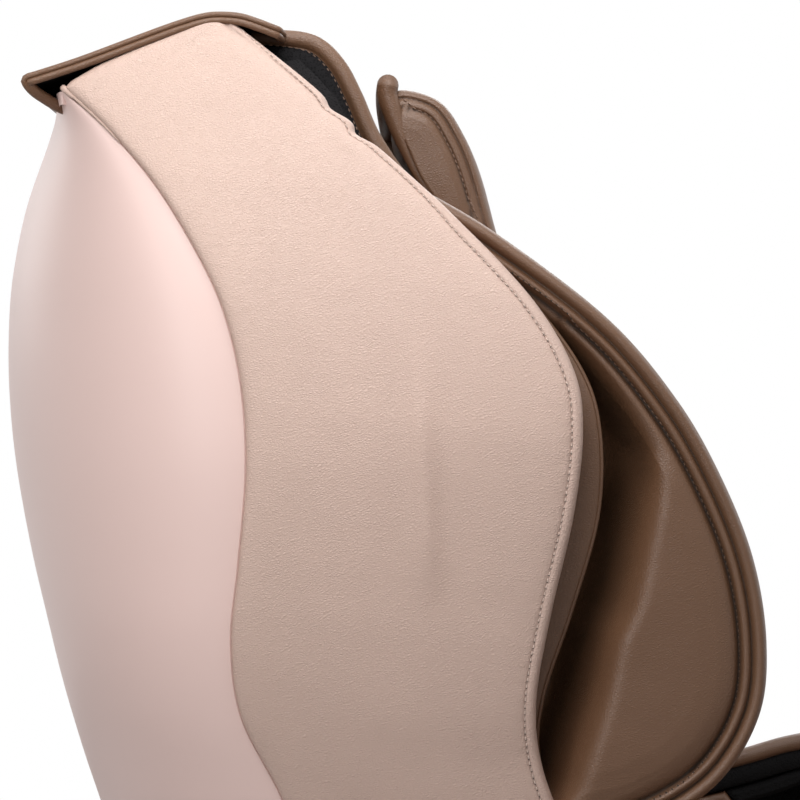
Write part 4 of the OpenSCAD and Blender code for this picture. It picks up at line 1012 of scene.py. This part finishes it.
class CHAIR_OT_pillow(bpy.types.Operator):
    """Head pillow with a fat welt on its rear edge and sewn ends"""
    bl_idname = "chair.pillow"
    bl_label = "Head pillow"

    def execute(self, context):
        u = np.linspace(0, 1, 161)
        front, back = through(PILLOW_FRONT, u), through(PILLOW_BACK, u)
        near = [0, 0.3, 0.7, 1.6, 3, 4.6, 5.8, PILLOW_PIPE, 7.2,
                8.4, 10, 11.6, 12.8, PILLOW_SEAM, 14.2, 16, 20]
        long, far = (spots(0, line[:, 0], line[:, 1]) for line in (front, back))
        share = columns(long, far, np.array(near), np.array([0, 2, 5]), 44)
        flat = long[:, None] + (far - long)[:, None] * share[..., None]
        from_front = nearest(flat[..., 1:].reshape(-1, 2), front).reshape(share.shape)
        out = look_up(PILLOW_END, from_front)
        out += 0.35 * ripple(flat + [PILLOW_HALF, 0, 0], 45, 21) * ease(14, 22, from_front)
        end = back_points(out, flat[..., 1], flat[..., 2])
        bend = np.sin(np.linspace(-math.pi / 2, math.pi / 2, 61))
        across = bend * PILLOW_END[0][1]
        middle = 1 - bend ** 2
        seams = sum(ridge(across, k * PILLOW_CROSS_SEAM, 2.6) for k in (-1, 1))
        swell = np.sin(np.pi * u) ** 0.7
        push = 6 * middle[None] * swell[:, None] - 2.6 * seams[None] * ease(0, 0.12, u)[:, None]
        face = back_points(across[None], front[:, :1] - push, front[:, 1:2])
        face[..., 1] += 0.5 * ripple(face, 60, 22) * (middle * swell[:, None])
        rear = back_points(across[None], back[:, :1], back[:, 1:2])
        # Painted shade in the grooves of the ends' piping and seam, and of the front's sunken cross seams
        seam = 0.8 * ridge(from_front, PILLOW_SEAM, 0.7) + 0.6 * ridge(from_front, PILLOW_PIPE, 0.6)
        shape = Shape().grid(face, seam=0.7 * seams[None]).grid(rear)
        row = near.index(PILLOW_SEAM)
        wide = np.flatnonzero(np.linalg.norm(far - long, axis=1) > 21)
        stitches = []
        for side in (-1, 1):
            shape.grid(end * [side, 1, 1], seam=seam)
            shape.band(end[:, -1] * [side, 1, 1], rear[:, -1] * [side, 1, 1])
            stitches.append(even((end[wide[0]:wide[-1], row] + [0.45, 0, 0]) * [side, 1, 1], 1.2))
        welt = through(PILLOW_WELT, np.linspace(0, 1, 90))
        down = back_points(PILLOW_HALF, welt[:, 0], welt[:, 1])
        x = np.linspace(6 - PILLOW_HALF, PILLOW_HALF - 6, 60)
        bow = 1 - (x / PILLOW_HALF) ** 2
        over = spots(x, down[0, 1] + 2 * bow, down[0, 2] + 3 * bow)
        path = np.vstack([(down * [-1, 1, 1])[::-1], over, down])
        size = np.concatenate([welt[::-1, 2], np.full(len(over), welt[0, 2]), welt[:, 2]])
        shape.bar(path, size, 18)
        shape.make("head_pillow_cover", ["hide_leather"], "back", ["head_pillow"], 0.85)
        sew("head_pillow_stitches", stitches, "dark_thread", "back")
        return {"FINISHED"}


# Depths of the flap's two faces below its outline, then the depth and radius of each cord in its rim
FLAP_FACES = (1.4, 6.6)
FLAP_RIMS = ((1.7, 2.0), (5.6, 2.4))
# How much higher the flap's middle is than its ends
FLAP_BOW = 9


class CHAIR_OT_flap(bpy.types.Operator):
    """Leather flap over the top of the back, with its rear skirt and its two-layer rim"""
    bl_idname = "chair.flap"
    bl_label = "Top flap"

    def execute(self, context):
        rows = even(through(FLAP, np.linspace(0, 1, 200)), 2.2)
        out = -leftwards(heading(rows[:, :2]))
        s = np.sin(np.linspace(-math.pi / 2, math.pi / 2, 101))
        reach = ease(38, 90, along(rows[:, :2]))[:, None]
        lift = FLAP_BOW * (1 - s ** 2) * reach
        flat = back_points(rows[:, 2:3] * s[None], rows[:, :1], rows[:, 1:2])
        lift = lift + ((0.8 * ripple(flat, 170, 12) + 0.3 * ripple(flat, 60, 13)) * (1 - s ** 2)) * reach
        layers = [sunk((rows[:, 2:3] - 1.5) * s[None], rows, out, depth - lift) for depth in FLAP_FACES]
        tip = int(np.argmax(rows[:, 0]))
        folded = 1 - ease(-8, 2, along(rows[:, :2]) - along(rows[:, :2])[tip])
        shape = Shape().grid(layers[0]).grid(layers[1][:tip]).grid(layers[1][tip - 1:], finish=1)
        shape.edges(*layers)
        for depth, radius in FLAP_RIMS:
            deep, half = mix(depth, 3.4, 0.6 * folded), rows[:, 2] - 0.8 - 1.5 * folded
            sides = [sunk(k * half[:, None], rows, out, deep[:, None])[:, 0] for k in (-1, 1)]
            rear, front = (layers[0][k] - [0, *out[k] * (depth - FLAP_FACES[0])] for k in (0, -1))
            loop = np.vstack([sides[0], front[1:-1], sides[1][::-1], rear[::-1][1:-1]])
            size = radius + 0.9 * np.concatenate([folded, 0 * s[1:-1], folded[::-1], 0 * s[1:-1] + 1])
            hoops = even(np.column_stack([loop, size]), 2.5, True)
            shape.bar(hoops[:, :3], hoops[:, 3], 10, closed=True)
        shape.make("top_flap_cover", ["hide_leather", "knit_mesh"], "back", ["top_flap"], 0.3)
        return {"FINISHED"}


# Half the lining's width, and its underside: y and z
LINING_HALF = 252
LINING_LOW = [[166, 790], [190, 787], [230, 776], [262, 769], [276, 768], [283, 765]]


class CHAIR_OT_lining(bpy.types.Operator):
    """Black mesh lining under the flap"""
    bl_idname = "chair.lining"
    bl_label = "Top lining"

    def execute(self, context):
        y = np.linspace(LINING_LOW[0][0], LINING_LOW[-1][0], 48)
        over = FLAP[np.argmax(FLAP[:, 0]) + 1:][::-1]
        top = look_up(over[:, :2], y) - 6.9
        low = np.minimum(look_up(LINING_LOW, y), top - 1.5)
        s = np.linspace(-1, 1, 61)
        half = look_up(over[:, ::2], y)
        bow = FLAP_BOW * (1 - (LINING_HALF * s / half[:, None]) ** 2)
        layers = (back_points(LINING_HALF * s, y[:, None], z) for z in (top[:, None] + bow, low[:, None]))
        Shape().slab(*layers).make("top_lining_mesh", ["knit_mesh"], "back", ["top_lining"], 0.2, 50)
        return {"FINISHED"}


# ---- Armrests ----

# Armrest: its inner and outer face, its shell's thickness, and how far its top drops outwards
ARM_IN = 270
ARM_OUT = 400
ARM_SHELL = 28
ARM_DROP = 14
# Depth of the core below the outline, the channel's floor, the core's underside, and the cuff's rear cut
UNDER_ARM = 29.5
CHANNEL_Z = 545
CORE_LOW = 64.3
CUFF_CUT = 8
# Points along each side of the cuff's section
CUFF_STEPS = 7


def arm_line(i):
    return through(ARM_FRONT, np.asarray(i, float) / (len(ARM_FRONT) - 1))


def arm_inset(i, d):
    """Points inside the armrest's outline by a distance square to it, and the way outwards."""
    i = np.atleast_1d(np.asarray(i, float))
    ahead, behind = np.minimum(i + 0.1, len(ARM_FRONT) - 1), np.maximum(i - 0.1, 0)
    out = leftwards(unit(arm_line(ahead) - arm_line(behind)))
    return arm_line(i) - out * np.asarray(d, float).reshape(-1, 1), out


# Section of the arm pad from its inner underside over its top: across, and depth below the outline
ARM_EDGE = np.array([
    [3.4, 29], [1.4, 27.4], [0.7, 22], [1.2, 16], [2.8, 13.4], [1.4, 12.7], [0.5, 11.5], [0.1, 10],
    [0.0, 8.2], [0.2, 6.4], [0.7, 4.7], [1.5, 3.2], [2.7, 1.9], [4.2, 1.0], [6.0, 0.5], [7.6, 0.5],
    [8.2, 1.3], [9.2, 0.4]])
# Places of the two seams in that section
ARM_EDGE_SEAM = 4
ARM_TOP_SEAM = 16
# The same section's outer edge, down to its underside
ARM_FAR_EDGE = np.array([
    [96, 15.4], [99.5, 16.2], [101.8, 17.8], [103, 20], [103.2, 23], [102.4, 26.6], [100, 29]])


def make_arm_pad(name, side):
    """Leather pad on top of an armrest. Gives the line of its stitches."""
    across = np.linspace(12, 93, 28)
    share = across / 103
    top = np.stack([across, (ARM_DROP + 2) * share - 1.4 * 4 * share * (1 - share)], 1)
    section = np.vstack([ARM_EDGE, top, ARM_FAR_EDGE])
    i = np.linspace(0.5, 12.5, 260)
    _, out = arm_inset(i, 0)
    rows = np.array([spots(ARM_IN - 2 + x, *arm_inset(i, d)[0].T) for x, d in section])
    soft = ease(10, 22, section[:, 0]) * (1 - ease(84, 95, section[:, 0]))
    puff = soft[:, None] * (0.6 * ripple(rows, 130, 31) + 0.2 * ripple(rows, 45, 32))
    rows[..., 1:] += puff[..., None] * out[None]
    # Painted shade along the grooves of the two seams
    seam = np.zeros(rows.shape[:2])
    seam[[ARM_EDGE_SEAM, ARM_TOP_SEAM]] = 0.8
    shape = Shape().grid(rows[ARM_EDGE_SEAM:], seam=seam[ARM_EDGE_SEAM:])
    shape.grid(rows[:ARM_EDGE_SEAM + 1], finish=1).band(rows[0], rows[-1], 1)
    shape.cap(rows[:, 0]).cap(rows[:, -1])
    # The pad's underside takes the darker mesh copy, painted shade
    shape.mirrored(side).make(f"arm_pad_cover_{name}", ["hide_leather", "lining_cloth"], "base",
                              [f"arm_pad_{name}"], 0.7)
    return even((rows[ARM_TOP_SEAM] + [0, 0, 0.2]) * [side, 1, 1], 1.2)


def cuff_ring(i, wall, back):
    """Corners of the forearm channel's lining at a place along the armrest, drawn forwards by back."""
    spot = arm_inset(i, UNDER_ARM)[0][0]
    lean = 0.54 * max(0, spot[0] + 110)
    share = wall / (spot[1] - CHANNEL_Z)
    return [np.array([spot[0] - lean * (1 - f) - back, mix(CHANNEL_Z + 0.3, spot[1], f)])
            for f in (share, 1 - share)]


def make_cuff(name, side):
    """Cloth lining of the forearm channel, padded on its roof, wall and floor."""
    x0, x1 = ARM_IN + 1, ARM_OUT - ARM_SHELL - 0.5
    hoops = []
    steps = np.linspace(0, 1, CUFF_STEPS + 1)[:-1, None]
    places = np.linspace(5, 10.5, 70)
    for i in places:
        back = CUFF_CUT * ease(8, 10.5, i)
        low, top = cuff_ring(i, 0, back)
        low_in, top_in = cuff_ring(i, 12, back)
        corners = [[x0 + 3, low], [x1, low], [x1, top], [x0 + 3, top], [x0, mix(top, top_in, 0.3)],
                   [x0, mix(top, top_in, 0.75)], [x0 + 4, top_in], [x1 - 16, top_in],
                   [x1 - 12, mix(top_in, low_in, 0.12)], [x1 - 12, mix(top_in, low_in, 0.88)],
                   [x1 - 16, low_in], [x0 + 4, low_in],
                   [x0, mix(low, low_in, 0.75)], [x0, mix(low, low_in, 0.3)]]
        ring = np.array([[x, *spot] for x, spot in corners])
        hoops.append(np.vstack([mix(a, b, steps) for a, b in zip(ring, np.roll(ring, -1, 0))]))
    hoops = np.array(hoops)
    # The linings of the roof, the wall and the floor swell into the channel
    swell = 3.5 * np.sin(np.pi * steps[:, 0]) * (0.75 + 0.25 * np.sin(places * 5.2))[:, None]
    for part, way in ((6, [0, 0, -1]), (8, [-1, 0, 0]), (10, [0, 0, 1])):
        hoops[:, part * CUFF_STEPS:(part + 1) * CUFF_STEPS] += swell[..., None] * way
    shape = Shape().grid(hoops, wrap=True).mirrored(side)
    # The lining takes the darker mesh copy: painted shade inside the channel
    shape.make(f"arm_cuff_lining_{name}", ["lining_cloth"], "base", [f"arm_cuff_{name}"], 0.5, whole=False)


def arm_hollow(gap):
    """The armrest's edge where the back's lower end swings past it."""
    turn = np.radians(np.arange(198, 296, 9.7))
    arc = (ROUND_R + gap) * np.stack([np.cos(turn), np.sin(turn)], 1)
    return np.vstack([FLANK[2::-1, :2] - [gap, 0], arc]) + [PIVOT_Y, PIVOT_Z]


class CHAIR_OT_armrests(bpy.types.Operator):
    """Armrests: pads, channel linings, padded cores and outer shells"""
    bl_idname = "chair.armrests"
    bl_label = "Armrests"

    def execute(self, context):
        rows = []
        for name, side in SIDES.items():
            rows.append(make_arm_pad(name, side))
            make_cuff(name, side)
            make_core(name, side)
            make_arm_shell(name, side)
        sew("arm_stitches", rows, "dark_thread", "base")
        return {"FINISHED"}


def make_core(name, side):
    """Padded inner side of an armrest, with a rounded edge towards the sitter."""
    front, _ = arm_inset(np.arange(0.5, 4.6, 0.25), UNDER_ARM)
    first = arm_inset(5, UNDER_ARM)[0][0]
    low, top = cuff_ring(10.5, 0, CUFF_CUT)
    rear, _ = arm_inset(np.arange(11, 12.6, 0.5), UNDER_ARM)
    channel = [[first[0] - 0.3, first[1] - 1], [first[0] - 0.3, CHANNEL_Z], [low[0] + 0.8, CHANNEL_Z],
               [top[0] + 0.8, top[1]]]
    outline = np.vstack([[[-372, CORE_LOW]], front, channel, rear, [[146, 612]], arm_hollow(16),
                         [[378, 250], [420, 214], [436, 170], [436, CORE_LOW]]])
    bm = bmesh.new()
    loop = [bm.verts.new(Vector((ARM_IN, y, z)) * MM) for y, z in outline]
    face = bm.faces.new(loop)
    made = bmesh.ops.extrude_face_region(bm, geom=[face])
    far = [v for v in made["geom"] if isinstance(v, bmesh.types.BMVert)]
    bmesh.ops.translate(bm, verts=far, vec=((ARM_OUT - ARM_SHELL - ARM_IN - 0.5) * MM, 0, 0))
    bmesh.ops.recalc_face_normals(bm, faces=bm.faces)
    rim = [e for e in bm.edges if all(v.co.x < ARM_IN * MM + SPECK for v in e.verts)]
    bmesh.ops.bevel(bm, geom=rim, offset=5 * MM, segments=4, profile=0.5, affect="EDGES", clamp_overlap=True)
    if side < 0:
        bmesh.ops.scale(bm, vec=(-1, 1, 1), verts=bm.verts)
        bmesh.ops.reverse_faces(bm, faces=bm.faces)
    bmesh.ops.triangulate(bm, faces=bm.faces)
    mesh = bpy.data.meshes.new(f"arm_core_cover_{name}")
    bm.to_mesh(mesh)
    bm.free()
    mesh.materials.append(finish("hide_leather"))
    mesh.shade_smooth()
    mesh.set_sharp_from_angle(angle=math.radians(40))
    seat(mesh.name, mesh, "base", [f"arm_core_{name}"])


def make_arm_shell(name, side):
    """Moulded outer side of an armrest."""
    front, _ = arm_inset(np.arange(0, 13.01, 0.125), 17)
    top = np.vstack([front, even(arm_hollow(14), 8), even(ARM_REAR, 8)])
    low = np.stack([np.linspace(-372, 440, len(top)), np.full(len(top), 18)], 1)
    c, s = circle(96)
    up = 0.5 - 0.5 * power(c, 0.4)
    x = ARM_OUT + ARM_SHELL / 2 * (power(s, 0.4) - 1)
    rows = spots(x, mix(low[:, :1], top[:, :1], up), mix(low[:, 1:], top[:, 1:], up))
    shape = Shape().tube(rows).mirrored(side)
    shape.make(f"arm_shell_moulding_{name}", ["shell_plastic"], "base", [f"arm_shell_{name}"], sharp=50)


# ---- Seat ----

# Seat cushion: half its width, its underside, then y with the lower and upper height of its outline
SEAT_HALF = 265
SEAT_Z = 392.5
SEAT = np.array([
    [-214, 18, 30], [-204, 8, 44], [-180, 1, 52], [-110, 0, 52], [-20, 0, 48], [70, 0, 44], [125, 0, 43],
    [143, 3, 38], [147, 12, 28]], float)
# Cross seams: y, and half the width of the panel between the two long seams
SEAT_SEAMS = (-150, -95, -40, 15, 70, 115)
SEAT_PANEL = 205


class CHAIR_OT_seat(bpy.types.Operator):
    """Seat cushion with cross seams, a welt and a front roll"""
    bl_idname = "chair.seat"
    bl_label = "Seat cushion"

    def execute(self, context):
        r = through(SEAT, np.linspace(0, 1, 241))
        c, s = circle(120)
        x = SEAT_HALF * power(c, 0.16)
        mid, half = (r[:, 1] + r[:, 2]) / 2, (r[:, 2] - r[:, 1]) / 2
        rows = spots(x, r[:, :1], SEAT_Z + mid[:, None] + half[:, None] * power(s, 0.3))
        upper = ease(0.3, 0.8, s) * ease(0, 26, SEAT_HALF - np.abs(x))
        lines = sum(ridge(r[:, 0], place, 3) for place in SEAT_SEAMS)[:, None]
        sides = sum(ridge(x, k * SEAT_PANEL, 2.6) for k in (-1, 1))
        within = np.abs(x) < SEAT_PANEL
        puff = 2 * np.abs(np.sin(np.pi * (r[:, :1] - SEAT_SEAMS[0]) / (SEAT_SEAMS[1] - SEAT_SEAMS[0])))
        puff = puff * (1 - ease(SEAT_PANEL - 10, SEAT_PANEL, np.abs(x)))
        rows[..., 2] += upper * (puff - 5 * lines * within - 5 * sides + 0.5 * ripple(rows, 110, 41))
        # Painted shade in the grooves of the seams
        shape = Shape().tube(rows, seam=0.8 * upper * (lines ** 5 * within + sides))
        for k in (-1, 1):
            welt = spots(k * (SEAT_HALF - 6), r[:, 0], SEAT_Z + mid + half * 0.93)
            shape.bar(even(welt[8:-4], 3), 3, 10)
        shape.make("seat_cushion_cover", ["hide_leather"], "base", ["seat_cushion"], 0.75)
        return {"FINISHED"}


# ---- Leg rest ----

# Leg rest: half its width, the middle of each well, the calf pad's front and rear, and its cross seams
LEG_HALF = 250
WELL_X = 119
CALF_FRONT = -411
CALF_REAR = -236
CALF_SEAMS = (184, 247, 310)


def leg_wells(inset):
    """Outline of the calf pads from above, with a well for each leg: x and y."""
    half, front, rear = LEG_HALF - inset, CALF_FRONT + inset, CALF_REAR - inset
    r, deep = 62.0, CALF_FRONT + 48.0
    corner = 24.0
    arc = np.radians(np.linspace(0, 90, 9))
    path = [[-half, rear], [half, rear]]
    path += [[half - corner + corner * math.cos(a), front + corner - corner * math.sin(a)] for a in arc]
    for k in (1, -1):
        for lip in (1, -1):
            edge = k * WELL_X + lip * r
            tip = [[edge + lip * (10 - 10 * math.sin(a)), front + 10 - 10 * math.cos(a)] for a in arc]
            if lip > 0:
                path += tip
                path += [[k * WELL_X + r * math.cos(a), deep + r * math.sin(a)]
                         for a in np.radians(range(0, 181, 6))]
            else:
                path += tip[::-1]
    path += [[-half + corner - corner * math.sin(a), front + corner - corner * math.cos(a)] for a in arc]
    return even(np.array(path), 4, True)


class CHAIR_OT_leg_rest(bpy.types.Operator):
    """Calf pads with two wells, and the padded foot wells below them"""
    bl_idname = "chair.leg_rest"
    bl_label = "Leg rest"

    def execute(self, context):
        ring = leg_wells(5.5)
        area = np.sum(ring[:, 0] * np.roll(ring[:, 1], -1) - np.roll(ring[:, 0], -1) * ring[:, 1])
        inward = leftwards(heading(ring, True)) * np.sign(area)
        low, high, edge = 122, 372, 9
        turn = np.radians(np.arange(0, 91, 15))
        bend, drawn = edge * (1 - np.cos(turn)), edge * (1 - np.sin(turn))
        straight = np.linspace(low + edge, high - edge, 90)[1:-1]
        z = np.concatenate([low + bend, straight, high - drawn])[:, None]
        draw = np.concatenate([drawn, 0 * straight, bend])[:, None]
        sewn = sum(ridge(z, place, 3) for place in CALF_SEAMS)
        open_side = ease(0, 12, CALF_REAR - 24 - ring[:, 1])
        puff = np.abs(np.sin(np.pi * (z - CALF_SEAMS[0]) / (CALF_SEAMS[1] - CALF_SEAMS[0])))
        draw = draw + (3.2 * sewn - 1.2 * puff) * open_side
        rows = spots(ring[:, 0] + inward[:, 0] * draw, ring[:, 1] + inward[:, 1] * draw, z)
        # Painted shade in the grooves of the cross seams
        shape = Shape().grid(rows, wrap=True, seam=0.8 * sewn ** 5 * open_side)
        shape.make("calf_pad_cover", ["hide_leather"], "legrest", ["calf_pads"], 0.8, whole=False)
        for name, side in SIDES.items():
            make_foot_pad(name, side)
        return {"FINISHED"}


# Foot rest: its front and underside, half a well's width, then its outline behind the front: y and z
FOOT_FRONT = -620.5
FOOT_LOW = 30
FOOT_WELL = 59
FOOT_NOSE = np.array([
    [44, 0], [16, 6], [0, 30], [1, 62], [18, 88], [52, 99], [100, 104], [185.5, 108], [208.5, 118]], float)


# Section of a foot well's wall: how far out of the well, share of the rim's height, and rise over it
FOOT_WALL = [[0, 0, 0], [-2.5, 0.25, 0], [-3.4, 0.55, 0], [-2.4, 0.85, 0], [-1, 1, -1], [1, 1, 1.6],
             [4, 1, 3.2], [8, 1, 3], [10, 1, 0.5], [9.6, 0.9, 0], [9.6, 0, 0]]


def make_foot_pad(name, side):
    """Padded wall and sole of one foot well."""
    top = through(FOOT_NOSE, np.linspace(0.4, 1, 80)) + [FOOT_FRONT, FOOT_LOW]
    front_y, rear_y = FOOT_FRONT + 34 + FOOT_WELL, CALF_REAR - 42.0
    arc = np.radians(np.linspace(0, 180, 37))
    path = [[FOOT_WELL, y] for y in np.linspace(rear_y, front_y, 50)]
    path += [[FOOT_WELL * math.cos(a), front_y - FOOT_WELL * math.sin(a)] for a in arc[1:-1]]
    path += [[-FOOT_WELL, y] for y in np.linspace(front_y, rear_y, 50)]
    path = even(path, 4)
    outward = leftwards(heading(path))
    outward *= np.sign(outward[0, 0])
    front = path[:, 1] < CALF_FRONT - 4
    rim = np.where(front, np.minimum(look_up(top, path[:, 1]), 140), 119)
    low = FOOT_LOW + 6.5
    rows = np.array([spots(side * WELL_X + path[:, 0] + outward[:, 0] * out, path[:, 1] + outward[:, 1] * out,
                           mix(low, rim, share) + rise * front) for out, share, rise in FOOT_WALL])
    shape = Shape().grid(rows, loop=True).cap(rows[:, 0]).cap(rows[:, -1])
    # Sole pad with a recess for the roller
    u, v = np.linspace(-1, 1, 61), np.linspace(0, 1, 141)
    y = mix(FOOT_FRONT + 37, rear_y, v)
    bow = np.sqrt(np.maximum(FOOT_WELL ** 2 - (y - front_y) ** 2, 25))
    reach = np.where(y < front_y, bow, FOOT_WELL) - 2.5
    x = reach[:, None] * u
    edge = np.minimum(1 - np.abs(u), np.minimum(v, 1 - v)[:, None] * 4)
    z = FOOT_LOW + 28.3 - 5 * (1 - ease(0, 0.12, edge)) + 0.5 * ripple(spots(x, y[:, None], 0), 60, 51)
    slot = (1 - ease(40, 43, np.abs(x))) * (1 - ease(17.6, 20.5, np.abs(y + 470)))[:, None]
    z = z - slot * (z - FOOT_LOW - 7)
    shape.slab(*(spots(side * WELL_X + x, y[:, None], height) for height in (z, FOOT_LOW + 6.4)))
    stands_for = ["foot_pads"] if side > 0 else []
    shape.make(f"foot_pad_cover_{name}", ["hide_leather"], "legrest", stands_for, 0.6)


class CHAIR_OT_finishes(bpy.types.Operator):
    """Finishes of the frame's own pieces"""
    bl_idname = "chair.finishes"
    bl_label = "Finishes"

    def execute(self, context):
        for name, nodes in NODE_FINISH.items():
            for node in nodes:
                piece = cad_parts[node]
                if not piece.material_slots:
                    piece.data.materials.append(None)
                for slot in piece.material_slots:
                    slot.material = finish(name)
        return {"FINISHED"}


# ---- Stage ----

# Place in metres, what it faces, disc size in metres and power in watts
LAMPS = (
    ("key", (-1.0, 0.5, 1.6), (-0.3, 0.42, 1.05), 0.5, 4.9),
    ("side", (-1.3, 1.2, 1.2), (-0.3, 0.42, 1.05), 0.5, 4),
    ("shoulder", (-0.6, 0.15, 1.85), (-0.2, 0.3, 1.18), 0.5, 5),
    ("top", (-0.1, 0.4, 2.5), (-0.1, 0.35, 1.0), 1.2, 5),
    ("front", (0.9, -2.4, 2.2), (0.0, 0.0, 0.6), 1.6, 12),
    ("rear", (1.8, 2.2, 1.8), (0.0, 0.2, 0.7), 1.6, 10),
    ("far", (2.2, -0.2, 2.4), (0.3, 0.1, 0.7), 1.2, 12),
)
# How brightly the sky lights the chair, against the white that the camera sees
SKY_GLOW = 0.31
# Floor in metres: how far it reaches, where it starts to fade to white, and over what distance
FLOOR_RADIUS = 4.2
FADE_START = 1.2
FADE_WIDTH = 2.2
# Camera's place in metres, and its focal length in millimetres
CAMERA = (-2.18, 0.33, 0.99)
LENS = 129.6


class CHAIR_OT_stage(bpy.types.Operator):
    """Pale floor, soft lamps and the camera"""
    bl_idname = "chair.stage"
    bl_label = "Stage"

    def execute(self, context):
        scene = context.scene
        scene.view_settings.view_transform = "Standard"
        floor = Finish("stage_floor")
        spot = floor.node("ShaderNodeTexCoord", out="Object")
        far = floor.node("ShaderNodeVectorMath", {"operation": "LENGTH"}, {0: spot}, out="Value")
        seen = floor.node("ShaderNodeLightPath", out="Is Camera Ray")
        diffuse = floor.node("ShaderNodeBsdfDiffuse", {}, {"Color": (0.86, 0.86, 0.86)})
        white = floor.node("ShaderNodeEmission", {}, {"Color": (1, 1, 1), "Strength": 1.0})
        faded = seen * far.above(FADE_START, FADE_WIDTH)
        both = floor.node("ShaderNodeMixShader", {}, {0: faded, 1: diffuse, 2: white})
        floor.node("ShaderNodeOutputMaterial", {}, {"Surface": both})
        mesh = bpy.data.meshes.new("stage_floor")
        rim = FLOOR_RADIUS * spots(*circle(96), 0)
        mesh.from_pydata(rim.tolist(), [], [list(range(len(rim)))])
        mesh.materials.append(floor.material)
        ground = bpy.data.objects.new("stage_floor", mesh)
        scene.collection.objects.link(ground)

        world = bpy.data.worlds.new("stage_sky")
        scene.world = world
        world.use_nodes = True
        sky = Nodes(world.node_tree)
        direct = sum(sky.node("ShaderNodeLightPath", out=f"Is {ray} Ray")
                     for ray in ("Camera", "Transmission", "Glossy"))
        strength = sky.node("ShaderNodeMapRange", {}, {"Value": direct, "To Min": SKY_GLOW, "To Max": 1.0})
        white = sky.node("ShaderNodeBackground", {}, {"Color": (1, 1, 1), "Strength": strength})
        sky.node("ShaderNodeOutputWorld", {}, {"Surface": white})

        for name, place, target, size, energy in LAMPS:
            light = bpy.data.lights.new(name, "AREA")
            light.shape = "DISK"
            light.size = size
            light.energy = energy
            holder = bpy.data.objects.new(name, light)
            holder.location = place
            holder.rotation_euler = (Vector(target) - Vector(place)).to_track_quat("-Z", "Y").to_euler()
            scene.collection.objects.link(holder)

        lens = bpy.data.cameras.new("camera")
        lens.lens = LENS
        lens.sensor_width = 36
        lens.sensor_fit = "HORIZONTAL"
        lens.clip_start = 0.05
        camera = bpy.data.objects.new("camera", lens)
        level = Matrix.Rotation(math.radians(90), 4, "X")
        camera.matrix_world = Matrix.Translation(CAMERA) @ Matrix.Rotation(math.radians(-90), 4, "Z") @ level
        scene.collection.objects.link(camera)
        scene.camera = camera
        return {"FINISHED"}


# ---- Panel and registration ----

STEPS = (CHAIR_OT_stage, CHAIR_OT_finishes, CHAIR_OT_shell, CHAIR_OT_flanks, CHAIR_OT_strips, CHAIR_OT_wings,
         CHAIR_OT_back_pad, CHAIR_OT_pillow, CHAIR_OT_flap, CHAIR_OT_lining, CHAIR_OT_armrests, CHAIR_OT_seat,
         CHAIR_OT_leg_rest)


class CHAIR_PT_panel(bpy.types.Panel):
    """Lists the chair's pieces"""
    bl_idname = "CHAIR_PT_panel"
    bl_label = "Massage chair"
    bl_space_type = "VIEW_3D"
    bl_region_type = "UI"
    bl_category = "Massage chair"

    def draw(self, context):
        for group in (context.scene.chair_sizes, context.scene.chair_colours):
            for key in group.bl_rna.properties.keys():
                if key not in {"rna_type", "name"}:
                    self.layout.prop(group, key)
        for step in STEPS:
            self.layout.operator(step.bl_idname)


CLASSES = (ChairColours, ChairSizes, *STEPS, CHAIR_PT_panel)


def register():
    for item in CLASSES:
        bpy.utils.register_class(item)
    bpy.types.Scene.chair_sizes = PointerProperty(type=ChairSizes)
    bpy.types.Scene.chair_colours = PointerProperty(type=ChairColours)


def unregister():
    del bpy.types.Scene.chair_sizes
    del bpy.types.Scene.chair_colours
    for item in reversed(CLASSES):
        bpy.utils.unregister_class(item)


def main():
    register()
    for step in STEPS:
        group, name = step.bl_idname.split(".")
        getattr(getattr(bpy.ops, group), name)()


if __name__ == "__main__":
    main()
